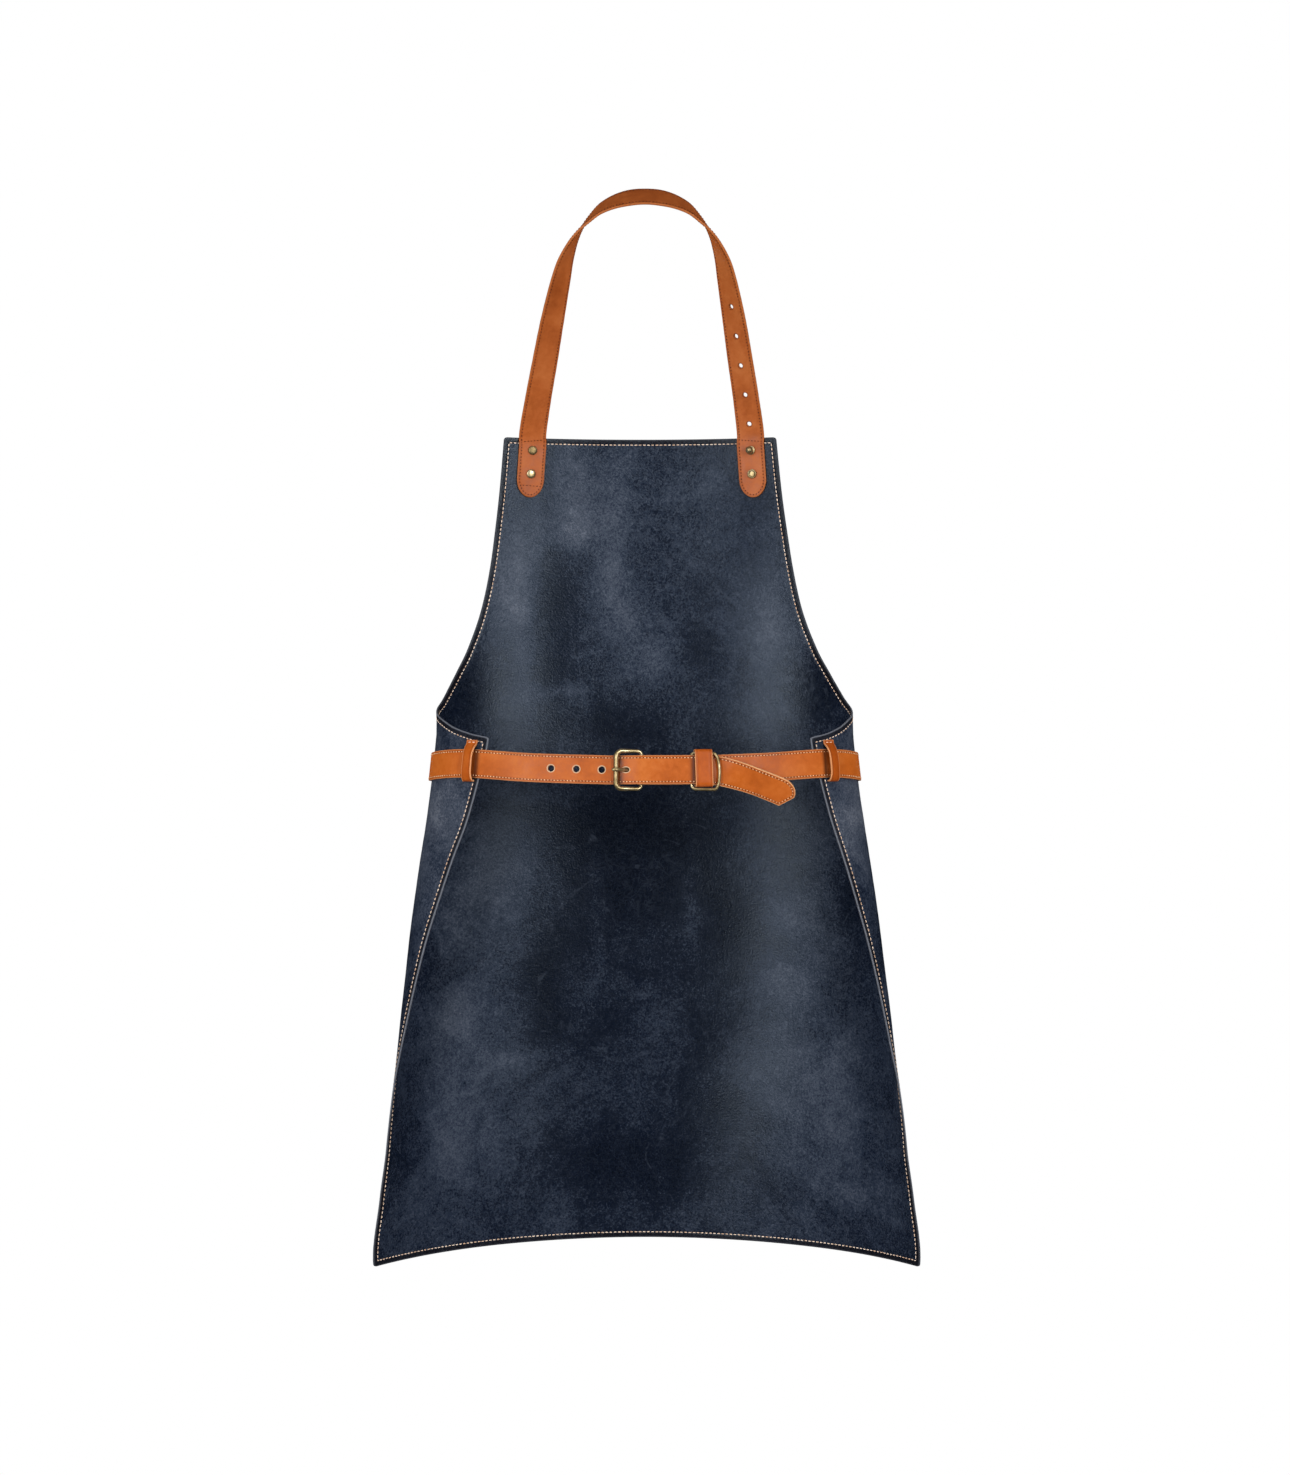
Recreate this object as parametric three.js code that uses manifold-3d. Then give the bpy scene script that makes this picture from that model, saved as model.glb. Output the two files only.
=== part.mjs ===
import * as THREE from "three";
import { mergeVertices } from "three/addons/utils/BufferGeometryUtils.js";
import Module from "manifold-3d";

const wasm = await Module();
wasm.setup();

// A leather apron in the shape that it has when worn. Sizes are millimetres and +Z is up. The wearer
// faces +Y, so left is -X. The origin is the middle of the neck strap, at the back of the neck, and a drop is
// a distance below it.

// Clearance between neighbouring pieces, and how far a cutter reaches past what it cuts
const GAP = 0.3;
const CUT_MARGIN = 2;
const HOLE_SIDES = 12;

// Where the stations of a rounded strap end lie, as angles of its quarter round
const END_ANGLES = [12, 30, 48, 66];

// Steps of a rounded corner and of a bowed bar, and of a curve's measured length
const CORNER_STEPS = 3;
const BOW_STEPS = 4;
const LENGTH_STEPS = 1200;

// Half of the small step, in degrees and in millimetres, over which the body's slopes are taken
const SLOPE_STEP = 0.5;

// Leather panel: bib and skirt
const PANEL_THICK = 2;
const PANEL_COLUMNS = 32;
const PANEL_ROW_STEP = 42;

// The body's oval at each level and how much of it the panel covers: half width and half depth of the
// oval, how far its front lies ahead of the neck, the half angle that the panel wraps, the angle that the
// panel is turned round the body, and the oval's sideways offset.
const PANEL_SECTIONS = [
  { drop: 222, halfWidth: 222, halfDepth: 100, front: 122, wrap: 38.5, turn: 0, sway: -5 },
  { drop: 276, halfWidth: 219.5, halfDepth: 95, front: 126, wrap: 40.8, turn: 0, sway: -4.5 },
  { drop: 317, halfWidth: 218, halfDepth: 91.5, front: 129, wrap: 43, turn: 0, sway: -4 },
  { drop: 357, halfWidth: 216, halfDepth: 88, front: 131, wrap: 45.7, turn: 0, sway: -3.5 },
  { drop: 398, halfWidth: 214, halfDepth: 84, front: 133, wrap: 49.8, turn: 0, sway: -3.2 },
  { drop: 439, halfWidth: 212, halfDepth: 80, front: 134, wrap: 57, turn: 0, sway: -2.6 },
  { drop: 460, halfWidth: 210.5, halfDepth: 78, front: 134, wrap: 63.2, turn: 0, sway: -2 },
  { drop: 480, halfWidth: 209, halfDepth: 76.5, front: 134, wrap: 71, turn: 0, sway: -1.4 },
  { drop: 491, halfWidth: 208, halfDepth: 76, front: 134, wrap: 77.5, turn: 0, sway: -1 },
  { drop: 501, halfWidth: 207, halfDepth: 76, front: 134, wrap: 90, turn: -0.5, sway: -0.6 },
  { drop: 510, halfWidth: 206.8, halfDepth: 76, front: 134, wrap: 104.5, turn: -1, sway: -0.4 },
  { drop: 518, halfWidth: 207, halfDepth: 76, front: 134, wrap: 114.5, turn: -1.5, sway: -0.3 },
  { drop: 524, halfWidth: 207.2, halfDepth: 76.2, front: 134, wrap: 123.5, turn: -2, sway: -0.2 },
  { drop: 528, halfWidth: 207.5, halfDepth: 76.4, front: 134, wrap: 130.7, turn: -2, sway: -0.2 },
  { drop: 569, halfWidth: 211.7, halfDepth: 78.3, front: 134.5, wrap: 128, turn: -2, sway: -0.1 },
  { drop: 608, halfWidth: 216.8, halfDepth: 80.5, front: 135, wrap: 125, turn: -2, sway: 0 },
  { drop: 647, halfWidth: 222.8, halfDepth: 84, front: 135.4, wrap: 121, turn: -1.6, sway: 0.2 },
  { drop: 686, halfWidth: 228, halfDepth: 88.5, front: 135.8, wrap: 117, turn: -1.2, sway: 0.6 },
  { drop: 725, halfWidth: 232.8, halfDepth: 93.5, front: 136.3, wrap: 112.8, turn: -0.9, sway: 0.8 },
  { drop: 764, halfWidth: 236.8, halfDepth: 99.5, front: 136.8, wrap: 108.8, turn: -0.6, sway: 1 },
  { drop: 803, halfWidth: 240.8, halfDepth: 106.7, front: 137.2, wrap: 104.8, turn: -0.3, sway: 1.1 },
  { drop: 842, halfWidth: 244.3, halfDepth: 116.7, front: 137.7, wrap: 99.5, turn: 0, sway: 1.2 },
  { drop: 881, halfWidth: 248, halfDepth: 135.6, front: 138.1, wrap: 91, turn: 0, sway: 1.3 },
  { drop: 929, halfWidth: 257.5, halfDepth: 169, front: 138.7, wrap: 80, turn: 0, sway: 1.4 },
  { drop: 978, halfWidth: 279.5, halfDepth: 221, front: 139.2, wrap: 68.5, turn: 0, sway: 1.5 },
  { drop: 1043.5, halfWidth: 321, halfDepth: 318, front: 140, wrap: 56, turn: 0, sway: 1.6 },
];

// Neck strap
const STRAP_WIDTH = 28;
const STRAP_THICK = 2.5;
const STRAP_STEP = 12;
const STRAP_SWAY = -3.5;
const STRAP_END_LENGTH = 19;
const STRAP_HOLE_RADIUS = 2;
const STRAP_HOLE_FIRST = 75;
const STRAP_HOLE_PITCH = 30.5;
const STRAP_HOLES = 5;

// Strap tabs on the inside of the bib, as drops below the neck with their distance from the middle
const TAB_ROWS = [
  { drop: 282, side: 115.3 },
  { drop: 258, side: 113.7 },
  { drop: 241, side: 112.5 },
  { drop: 228, side: 111.6 },
];
// A flat tab bridges the bib's curve by this much at its middle
const TAB_BRIDGE = 0.3;

// The middle of the strap from the bib up to the back of the neck, one side: distance from the middle of
// the body, how far it lies ahead of the neck, drop, and the roll of its width from the upright plane of the
// two sides.
const STRAP_ROUTE = [
  { side: 111, ahead: 104.4, drop: 220, roll: 16 },
  { side: 105.4, ahead: 91, drop: 185, roll: 27 },
  { side: 98, ahead: 75, drop: 147, roll: 33 },
  { side: 90.8, ahead: 59, drop: 110, roll: 41.5 },
  { side: 82.6, ahead: 42, drop: 73.5, roll: 54.5 },
  { side: 77.6, ahead: 33, drop: 55, roll: 67 },
  { side: 69.7, ahead: 24, drop: 37.5, roll: 84 },
  { side: 61.6, ahead: 17.5, drop: 26, roll: 98 },
  { side: 53.4, ahead: 13, drop: 18, roll: 108 },
  { side: 43, ahead: 8.5, drop: 9.6, roll: 118 },
  { side: 29, ahead: 4, drop: 3.8, roll: 127 },
  { side: 14.6, ahead: 1, drop: 0.9, roll: 132 },
  { side: 0, ahead: 0, drop: 0, roll: 132 },
];

// Rivets and ball stud through the tabs
const RIVET_DROPS = { upper: 234.5, lower: 258.3 };
const RIVET_SHANK = 1.5;
const RIVET_HEAD = { radius: 4.6, brim: 0.9, height: 1.7, topRadius: 3.7 };
const RIVET_BACK = { radius: 3.6, height: 1, topRadius: 3.1 };
const RIVET_SIDES = 16;
const STUD_NECK = { radius: 2, height: 2 };
const STUD_BALL_RADIUS = 3.9;
const STUD_BALL_ANGLES = [-35, -5, 25, 55, 90];

// Waist belt
const BELT_WIDTH = 28;
const BELT_THICK = 2.6;
const BELT_EASE = 0.25;
const BELT_STEP = 4;
const BELT_FINE_STEP = 1.4;
const BELT_FINE_TURN = 158;
const BELT_TIP_LENGTH = 17;
const BELT_TIP_CUT = 9.55;
const BELT_TIP_STUB = 0.4;
const BELT_HOLE_RADIUS = 2.7;
const BELT_USED_HOLE_RADIUS = 3.7;
const BELT_HOLE_TURNS = [-154.6, -161.8, -168.7];
const BELT_USED_HOLE_TURN = -175.1;

// The belt's route round the waist. Turn is the angle round the body's oval, from the buckle at 180 round
// the wearer's right and front to the left, and on past -180 into the free end. Lift is the distance
// outwards from where the belt lies on the panel, and roll tips the belt's upper edge outwards.
const BELT_ROUTE = [
  { turn: 180.9, lift: 1.85, drop: 559, roll: 0 },
  { turn: 177, lift: 0.4, drop: 559, roll: 0 },
  { turn: 172, lift: 0, drop: 559, roll: 0 },
  { turn: 150, lift: 0, drop: 557, roll: 0 },
  { turn: 122, lift: 0, drop: 553, roll: 0 },
  { turn: 90, lift: 0, drop: 557, roll: 0 },
  { turn: 0, lift: 0, drop: 562, roll: 0 },
  { turn: -90, lift: 0, drop: 557, roll: 0 },
  { turn: -124, lift: 0, drop: 553, roll: 0 },
  { turn: -150, lift: 0, drop: 557, roll: 0 },
  { turn: -166, lift: 0.1, drop: 558.5, roll: 0 },
  { turn: -172.5, lift: 1, drop: 559, roll: 0 },
  { turn: -179.1, lift: 4.9, drop: 559, roll: 0 },
  { turn: -186, lift: 4.9, drop: 559, roll: 0 },
  { turn: -192.1, lift: 6.3, drop: 559, roll: 0 },
  { turn: -195.4, lift: 5.2, drop: 559.1, roll: 0 },
  { turn: -199.1, lift: 2.95, drop: 560, roll: 0 },
  { turn: -203.2, lift: 5.3, drop: 563.4, roll: 13 },
  { turn: -206.7, lift: 6.7, drop: 567.3, roll: 23 },
  { turn: -210.4, lift: 8.2, drop: 572, roll: 28 },
  { turn: -214, lift: 9.6, drop: 577, roll: 28 },
  { turn: -220.8, lift: 12, drop: 587, roll: 28 },
];

// Buckle: the belt folds back round the heel bar, and the toe bar lies over the free end
const HEEL = { turn: 180.9, lift: -1.5, radius: 1.75 };
const TOE = { turn: -172.5, lift: 5.5, radius: 2.4 };
const FRAME_HALF_HEIGHT = 18.2;
const FRAME_CORNERS = { toe: 6, heel: 4 };
const WIRE_SIDES = 8;
const FOLD_BACK = { turn: 170, lift: -3.1 };
const FOLD_SHARES = [0, 0.3, 0.55, 0.75, 0.9];
const FOLD_SHARPNESS = 4;
const FOLD_ANGLES = [0, 30, 60, 90, 120, 150];
const PRONG_WIDTH = 3.8;
const PRONG_THICK = 2;
const PRONG_RING = 1.5;
const PRONG_SLOT = { width: 5, reach: 9, depth: 10 };
const PRONG_STEPS = 14;
const PRONG_RING_SIDES = 18;
const PRONG_ROUTE = [
  { turn: -178.4, lift: -1.4 },
  { turn: -176.5, lift: -0.6 },
  { turn: -175.1, lift: 1.9 },
  { turn: -174, lift: 5.8 },
  { turn: -172.6, lift: 9.2 },
  { turn: -171.5, lift: 9.1 },
];

// Leather keeper round both layers of the belt, with a ring linked through its upper side
const KEEPER = { turn: -195.4, width: 17, thick: 1.8, corner: 2.2 };
const KEEPER_LIFTS = { back: -1.7, front: 8 };
const KEEPER_RISES = { bottom: -14.7, top: 18.2 };
const RING = { radius: 1.5, top: 16.3, bottom: -18.6, corner: 4, bulge: 5.5 };
const RING_LEFT = { turn: -192.1, lift: 3.15 };
const RING_RIGHT = { turn: -198.1, lift: 6.25 };

// Belt loops sewn on the flap corners: lift over the belt by drop
const LOOP_WIDTH = 12;
const LOOP_THICK = 1.8;
const LOOP_STEPS = 24;
const LOOP_TURNS = { left: -126, right: 120.4 };
const LOOP_ROUTE = [
  { drop: 530, lift: 0 },
  { drop: 533.5, lift: 0.2 },
  { drop: 537.4, lift: 3.6 },
  { drop: 543, lift: 6.2 },
  { drop: 553, lift: 7 },
  { drop: 563, lift: 6.4 },
  { drop: 567.6, lift: 4.6 },
  { drop: 569.8, lift: 2.4 },
  { drop: 570.2, lift: 0 },
];

// The axis that turned and round shapes are made on, which is also the way that the wearer faces
const Y_AXIS = new THREE.Vector3(0, 1, 0);

const panelLeather = new THREE.MeshStandardMaterial({ color: 0x232a38, roughness: 0.62 });
const strapLeather = new THREE.MeshStandardMaterial({ color: 0x9c5020, roughness: 0.55 });
const beltLeather = new THREE.MeshStandardMaterial({ color: 0xb8652c, roughness: 0.5 });
const brass = new THREE.MeshStandardMaterial({ color: 0xa89668, roughness: 0.35, metalness: 1 });

// A smooth curve through one column of a table, flat at its peaks and with no overshoot between rows.
function column(rows, place, name) {
  const x = rows.map((row) => row[place]);
  const y = rows.map((row) => row[name]);
  const last = x.length - 1;
  const chord = (i) => (y[i + 1] - y[i]) / (x[i + 1] - x[i]);
  const slope = (i) => {
    if (i === 0) return chord(0);
    if (i === last) return chord(last - 1);
    const [before, after] = [chord(i - 1), chord(i)];
    return before * after <= 0 ? 0 : (2 * before * after) / (before + after);
  };
  const isRising = x[last] > x[0];
  return (at) => {
    let i = 0;
    while (i < last - 1 && (isRising ? at > x[i + 1] : at < x[i + 1])) i++;
    const span = x[i + 1] - x[i];
    const t = THREE.MathUtils.clamp((at - x[i]) / span, 0, 1);
    const rise = t * t * (3 - 2 * t);
    const lean = t * (1 - t) * span * (slope(i) * (1 - t) - slope(i + 1) * t);
    return y[i] + (y[i + 1] - y[i]) * rise + lean;
  };
}

const panelColumn = (name) => column(PANEL_SECTIONS, "drop", name);
const halfWidth = panelColumn("halfWidth");
const halfDepth = panelColumn("halfDepth");
const front = panelColumn("front");
const wrap = panelColumn("wrap");
const panelTurn = panelColumn("turn");
const sway = panelColumn("sway");

// The point of the body's oval at an angle in degrees, 0 at the front, and a drop.
function bodyPoint(turn, drop) {
  const angle = THREE.MathUtils.degToRad(turn);
  const x = sway(drop) + halfWidth(drop) * Math.sin(angle);
  const y = front(drop) - halfDepth(drop) * (1 - Math.cos(angle));
  return new THREE.Vector3(x, y, -drop);
}

// The body's surface at a point: the ways round it, up it and out of it.
function bodyFrame(turn, drop) {
  const before = bodyPoint(turn - SLOPE_STEP, drop);
  const round = bodyPoint(turn + SLOPE_STEP, drop).sub(before).normalize();
  const below = bodyPoint(turn, drop + SLOPE_STEP);
  const up = bodyPoint(turn, drop - SLOPE_STEP).sub(below).normalize();
  const out = new THREE.Vector3().crossVectors(up, round).normalize();
  return { at: bodyPoint(turn, drop), round, up, out };
}

// A closed solid through a run of section loops. Point i of a loop faces point n - 1 - i across it, so a
// flat end is filled by the strip between the two halves of its loop. A ring's last loop meets its first.
function loft(loops, isRing = false) {
  const count = loops[0].length;
  const index = [];
  const quad = (a, b, c, d) => index.push(a, b, c, a, c, d);
  const spans = isRing ? loops.length : loops.length - 1;
  for (let k = 0; k < spans; k++) {
    const here = k * count;
    const next = ((k + 1) % loops.length) * count;
    for (let i = 0; i < count; i++) {
      const j = (i + 1) % count;
      quad(here + i, next + i, next + j, here + j);
    }
  }
  const end = (loops.length - 1) * count;
  for (let i = 0; !isRing && i < count / 2 - 1; i++) {
    const j = count - 1 - i;
    quad(i, i + 1, j - 1, j);
    quad(end + i, end + j, end + j - 1, end + i + 1);
  }
  const points = loops.flat().flatMap((point) => point.toArray());
  const geometry = new THREE.BufferGeometry();
  geometry.setAttribute("position", new THREE.Float32BufferAttribute(points, 3));
  geometry.setIndex(index);
  return geometry;
}

// A flat strip through stations, each with its place, the way across the strip and its half width, and with
// its lower half width where that differs.
function strip(stations, thick, isRing = false) {
  const count = stations.length;
  const neighbour = (k) => {
    const inRing = (k + count) % count;
    const inLine = THREE.MathUtils.clamp(k, 0, count - 1);
    return stations[isRing ? inRing : inLine].at;
  };
  const loops = stations.map((station, k) => {
    const along = neighbour(k + 1).clone().sub(neighbour(k - 1)).normalize();
    const across = station.across.clone().projectOnPlane(along).normalize();
    const out = new THREE.Vector3().crossVectors(along, across).setLength(thick / 2);
    const near = station.at.clone().addScaledVector(across, station.half);
    const far = station.at.clone().addScaledVector(across, -(station.lowerHalf ?? station.half));
    return [near.clone().add(out), far.clone().add(out), far.sub(out), near.sub(out)];
  });
  return loft(loops, isRing);
}

// How wide a strip with rounded ends is, as a share, at a distance from its end.
function endShare(distance, endLength) {
  const toGo = Math.max(0, 1 - distance / endLength);
  return Math.sqrt(1 - toGo * toGo);
}

// The distances from a rounded end at which a strip has a station.
function endDistances(endLength) {
  return END_ANGLES.map((angle) => endLength * (1 - Math.cos(THREE.MathUtils.degToRad(angle))));
}

// A round wire along a path, with a radius and a fixed sideways direction at each station.
function wire(stations, isRing = false) {
  const count = stations.length;
  const loops = stations.map((station, k) => {
    const after = stations[isRing ? (k + 1) % count : Math.min(k + 1, count - 1)].at;
    const before = stations[isRing ? (k - 1 + count) % count : Math.max(k - 1, 0)].at;
    const along = after.clone().sub(before).normalize();
    const side = station.side.clone().projectOnPlane(along).normalize();
    const other = new THREE.Vector3().crossVectors(along, side);
    return Array.from({ length: WIRE_SIDES }, (_, i) => {
      const angle = ((i + 0.5) / WIRE_SIDES) * 2 * Math.PI;
      const point = station.at.clone();
      point.addScaledVector(side, station.radius * Math.cos(angle));
      return point.addScaledVector(other, station.radius * Math.sin(angle));
    });
  });
  return loft(loops, isRing);
}

// A three.js geometry as a solid that can be joined and cut, facing outwards.
function solid(geometry) {
  const bare = geometry.clone();
  bare.deleteAttribute("normal");
  bare.deleteAttribute("uv");
  const merged = mergeVertices(bare);
  const vertProperties = merged.attributes.position.array;
  const fill = (triVerts) => new wasm.Manifold(new wasm.Mesh({ numProp: 3, vertProperties, triVerts }));
  const made = fill(new Uint32Array(merged.index.array));
  return made.volume() > 0 ? made : fill(new Uint32Array(merged.index.array).reverse());
}

function geometryOf(made) {
  const mesh = made.getMesh();
  const geometry = new THREE.BufferGeometry();
  geometry.setAttribute("position", new THREE.BufferAttribute(mesh.vertProperties, 3));
  geometry.setIndex(new THREE.BufferAttribute(mesh.triVerts, 1));
  return geometry;
}

// A round cutter centred on a point, along an axis.
function roundCutter(radius, length, at, axis) {
  const cylinder = new THREE.CylinderGeometry(radius, radius, length, HOLE_SIDES);
  const turn = new THREE.Quaternion().setFromUnitVectors(Y_AXIS, axis);
  return solid(cylinder.applyQuaternion(turn).translate(at.x, at.y, at.z));
}

const cutAll = (made, cutters) => cutters.reduce((left, cutter) => left.subtract(cutter), made);

const apron = new THREE.Group();
apron.name = "grill_apron";

function addPiece(name, geometry, material) {
  geometry.computeVertexNormals();
  const mesh = new THREE.Mesh(geometry, material);
  mesh.name = name;
  apron.add(mesh);
  return mesh;
}

// Where a strap tab's middle line runs over the panel: the place on the panel, its frame and the
// direction into the wearer's side. Side is -1 on the left and 1 on the right.
function tabFrame(side, drop) {
  const fromMiddle = column(TAB_ROWS, "drop", "side")(drop);
  const x = STRAP_SWAY + side * fromMiddle;
  const turn = THREE.MathUtils.radToDeg(Math.asin((x - sway(drop)) / halfWidth(drop)));
  const frame = bodyFrame(turn, drop);
  return { ...frame, inward: frame.out.clone().negate() };
}

const TAB_BACK = PANEL_THICK / 2 + GAP + TAB_BRIDGE;
const TAB_FRONT = TAB_BACK + STRAP_THICK;

const rivetPlaces = [
  { name: "strap_rivet_left_upper", side: -1, drop: RIVET_DROPS.upper, hasBall: false },
  { name: "strap_rivet_left_lower", side: -1, drop: RIVET_DROPS.lower, hasBall: false },
  { name: "strap_stud_right_upper", side: 1, drop: RIVET_DROPS.upper, hasBall: true },
  { name: "strap_rivet_right_lower", side: 1, drop: RIVET_DROPS.lower, hasBall: false },
].map((place) => ({ ...place, frame: tabFrame(place.side, place.drop) }));

const rivetCutters = rivetPlaces.map(({ frame }) => {
  const length = 2 * (TAB_FRONT + CUT_MARGIN);
  return roundCutter(RIVET_SHANK + GAP, length, frame.at, frame.inward);
});

// Leather panel
function panelDrops() {
  const drops = PANEL_SECTIONS.map((row) => row.drop);
  return drops.flatMap((drop, i) => {
    const next = drops[i + 1] ?? drop;
    const steps = Math.max(1, Math.ceil((next - drop) / PANEL_ROW_STEP));
    return Array.from({ length: steps }, (_, k) => drop + ((next - drop) * k) / steps);
  });
}

function panelLoop(drop) {
  const inner = [];
  const outer = [];
  for (let i = 0; i <= PANEL_COLUMNS; i++) {
    const share = (2 * i) / PANEL_COLUMNS - 1;
    const { at, out } = bodyFrame(panelTurn(drop) + share * wrap(drop), drop);
    outer.push(at.clone().addScaledVector(out, PANEL_THICK / 2));
    inner.unshift(at.clone().addScaledVector(out, -PANEL_THICK / 2));
  }
  return [...outer, ...inner];
}

const panel = solid(loft(panelDrops().map(panelLoop)));
addPiece("apron_panel", geometryOf(cutAll(panel, rivetCutters)), panelLeather);

// Neck strap
function strapRows(side) {
  const tab = TAB_ROWS.map(({ drop }) => {
    const { at, round, inward } = tabFrame(side, drop);
    const middle = at.addScaledVector(inward, (TAB_BACK + TAB_FRONT) / 2);
    return { at: middle, across: round.multiplyScalar(side) };
  });
  const places = STRAP_ROUTE.map(({ side: fromMiddle, ahead, drop }) => {
    const x = side * fromMiddle + (STRAP_SWAY * drop) / PANEL_SECTIONS[0].drop;
    return new THREE.Vector3(x, ahead, -drop);
  });
  const free = STRAP_ROUTE.map(({ roll }, i) => {
    const before = places[i - 1] ?? tab[tab.length - 1].at;
    const after = places[i + 1] ?? places[i - 1].clone().setX(-places[i - 1].x);
    const along = after.clone().sub(before).normalize().multiplyScalar(-side);
    const outward = new THREE.Vector3().crossVectors(along, Y_AXIS).normalize();
    const back = new THREE.Vector3().crossVectors(along, outward);
    const angle = THREE.MathUtils.degToRad(roll);
    const across = outward.multiplyScalar(Math.cos(angle)).addScaledVector(back, Math.sin(angle));
    return { at: places[i], across };
  });
  return [...tab, ...free];
}

function neckStrap() {
  const rows = [...strapRows(-1), ...strapRows(1).reverse().slice(1)];
  const route = new THREE.CatmullRomCurve3(rows.map((row) => row.at));
  const sideways = new THREE.CatmullRomCurve3(rows.map((row) => row.across));
  route.arcLengthDivisions = LENGTH_STEPS;
  const length = route.getLength();
  const station = (distance) => {
    const t = route.getUtoTmapping(distance / length);
    const fromEnd = Math.min(distance, length - distance);
    const half = (STRAP_WIDTH / 2) * endShare(fromEnd, STRAP_END_LENGTH);
    return { at: route.getPoint(t), along: route.getTangent(t), across: sideways.getPoint(t), half };
  };
  const ends = endDistances(STRAP_END_LENGTH);
  const steps = Math.round((length - 2 * STRAP_END_LENGTH) / STRAP_STEP);
  const run = (length - 2 * STRAP_END_LENGTH) / steps;
  const inner = Array.from({ length: steps + 1 }, (_, k) => STRAP_END_LENGTH + k * run);
  const distances = [...ends, ...inner, ...ends.map((end) => length - end).reverse()];
  const holes = Array.from({ length: STRAP_HOLES }, (_, k) => {
    const { at, along, across } = station(length - STRAP_HOLE_FIRST - k * STRAP_HOLE_PITCH);
    const axis = new THREE.Vector3().crossVectors(along, across).normalize();
    return roundCutter(STRAP_HOLE_RADIUS, STRAP_THICK + 2 * CUT_MARGIN, at, axis);
  });
  const made = solid(strip(distances.map(station), STRAP_THICK));
  return geometryOf(cutAll(made, [...holes, ...rivetCutters]));
}

addPiece("neck_strap", neckStrap(), strapLeather);

// Rivets and ball stud: a shank through bib and strap with a cap behind and a head in front, turned round
// an axis that points to the wearer's side.
function rivetProfile(hasBall) {
  const back = -PANEL_THICK / 2 - GAP;
  const seat = TAB_FRONT + GAP;
  const brim = seat + RIVET_HEAD.brim;
  const top = seat + RIVET_HEAD.height;
  const shank = [
    [0, back - RIVET_BACK.height],
    [RIVET_BACK.topRadius, back - RIVET_BACK.height],
    [RIVET_BACK.radius, back - RIVET_BACK.height / 2],
    [RIVET_BACK.radius, back],
    [RIVET_SHANK, back],
    [RIVET_SHANK, seat],
    [RIVET_HEAD.radius, seat],
    [RIVET_HEAD.radius, brim],
  ];
  const cap = [
    [RIVET_HEAD.topRadius, top],
    [0, top],
  ];
  const neckTop = brim + STUD_NECK.height;
  const ballMiddle = neckTop + Math.sqrt(STUD_BALL_RADIUS ** 2 - STUD_NECK.radius ** 2);
  const ball = STUD_BALL_ANGLES.map((degrees) => {
    const angle = THREE.MathUtils.degToRad(degrees);
    const radius = degrees === 90 ? 0 : STUD_BALL_RADIUS * Math.cos(angle);
    return [radius, ballMiddle + STUD_BALL_RADIUS * Math.sin(angle)];
  });
  const stud = [[STUD_NECK.radius, brim], [STUD_NECK.radius, neckTop], ...ball];
  return [...shank, ...(hasBall ? stud : cap)].map(([radius, height]) => new THREE.Vector2(radius, height));
}

for (const { name, frame, hasBall } of rivetPlaces) {
  const lathe = new THREE.LatheGeometry(rivetProfile(hasBall), RIVET_SIDES);
  const mesh = addPiece(name, geometryOf(solid(lathe)), brass);
  mesh.position.copy(frame.at);
  mesh.quaternion.setFromUnitVectors(Y_AXIS, frame.inward);
}

// Waist belt
const BELT_SEAT = PANEL_THICK / 2 + GAP + BELT_EASE + BELT_THICK / 2;
const beltLift = column(BELT_ROUTE, "turn", "lift");
const beltDrop = column(BELT_ROUTE, "turn", "drop");
const beltRoll = column(BELT_ROUTE, "turn", "roll");

// A place beside the belt's route: its frame, moved outwards by a lift from where the belt would lie.
function beltSpot(turn, lift) {
  const frame = bodyFrame(turn, beltDrop(turn));
  frame.at.addScaledVector(frame.out, BELT_SEAT + lift);
  return frame;
}

const heelBar = beltSpot(HEEL.turn, HEEL.lift);
const toeBar = beltSpot(TOE.turn, TOE.lift);

// The turns at which the belt has a station, closer together by the buckle and along the free end.
function beltTurns(from, to) {
  const turns = [];
  for (let turn = from; turn > to; ) {
    turns.push(turn);
    turn -= Math.abs(turn) > BELT_FINE_TURN ? BELT_FINE_STEP : BELT_STEP;
  }
  return turns;
}

// The belt's folded end: a short inner layer, and the half turn round the heel bar.
function beltFold() {
  const foldRadius = HEEL.radius + GAP + BELT_THICK / 2;
  const under = { turn: HEEL.turn, lift: HEEL.lift - foldRadius };
  const layer = FOLD_SHARES.map((share) => {
    const turn = THREE.MathUtils.lerp(FOLD_BACK.turn, under.turn, share);
    const lift = THREE.MathUtils.lerp(FOLD_BACK.lift, under.lift, share ** FOLD_SHARPNESS);
    return beltSpot(turn, lift);
  });
  const bend = FOLD_ANGLES.map((degrees) => {
    const angle = THREE.MathUtils.degToRad(degrees);
    const at = heelBar.at.clone().addScaledVector(heelBar.out, -foldRadius * Math.cos(angle));
    return { at: at.addScaledVector(heelBar.round, foldRadius * Math.sin(angle)), up: heelBar.up };
  });
  return [...layer, ...bend].map(({ at, up }) => ({ at, across: up, half: BELT_WIDTH / 2 }));
}

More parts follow.
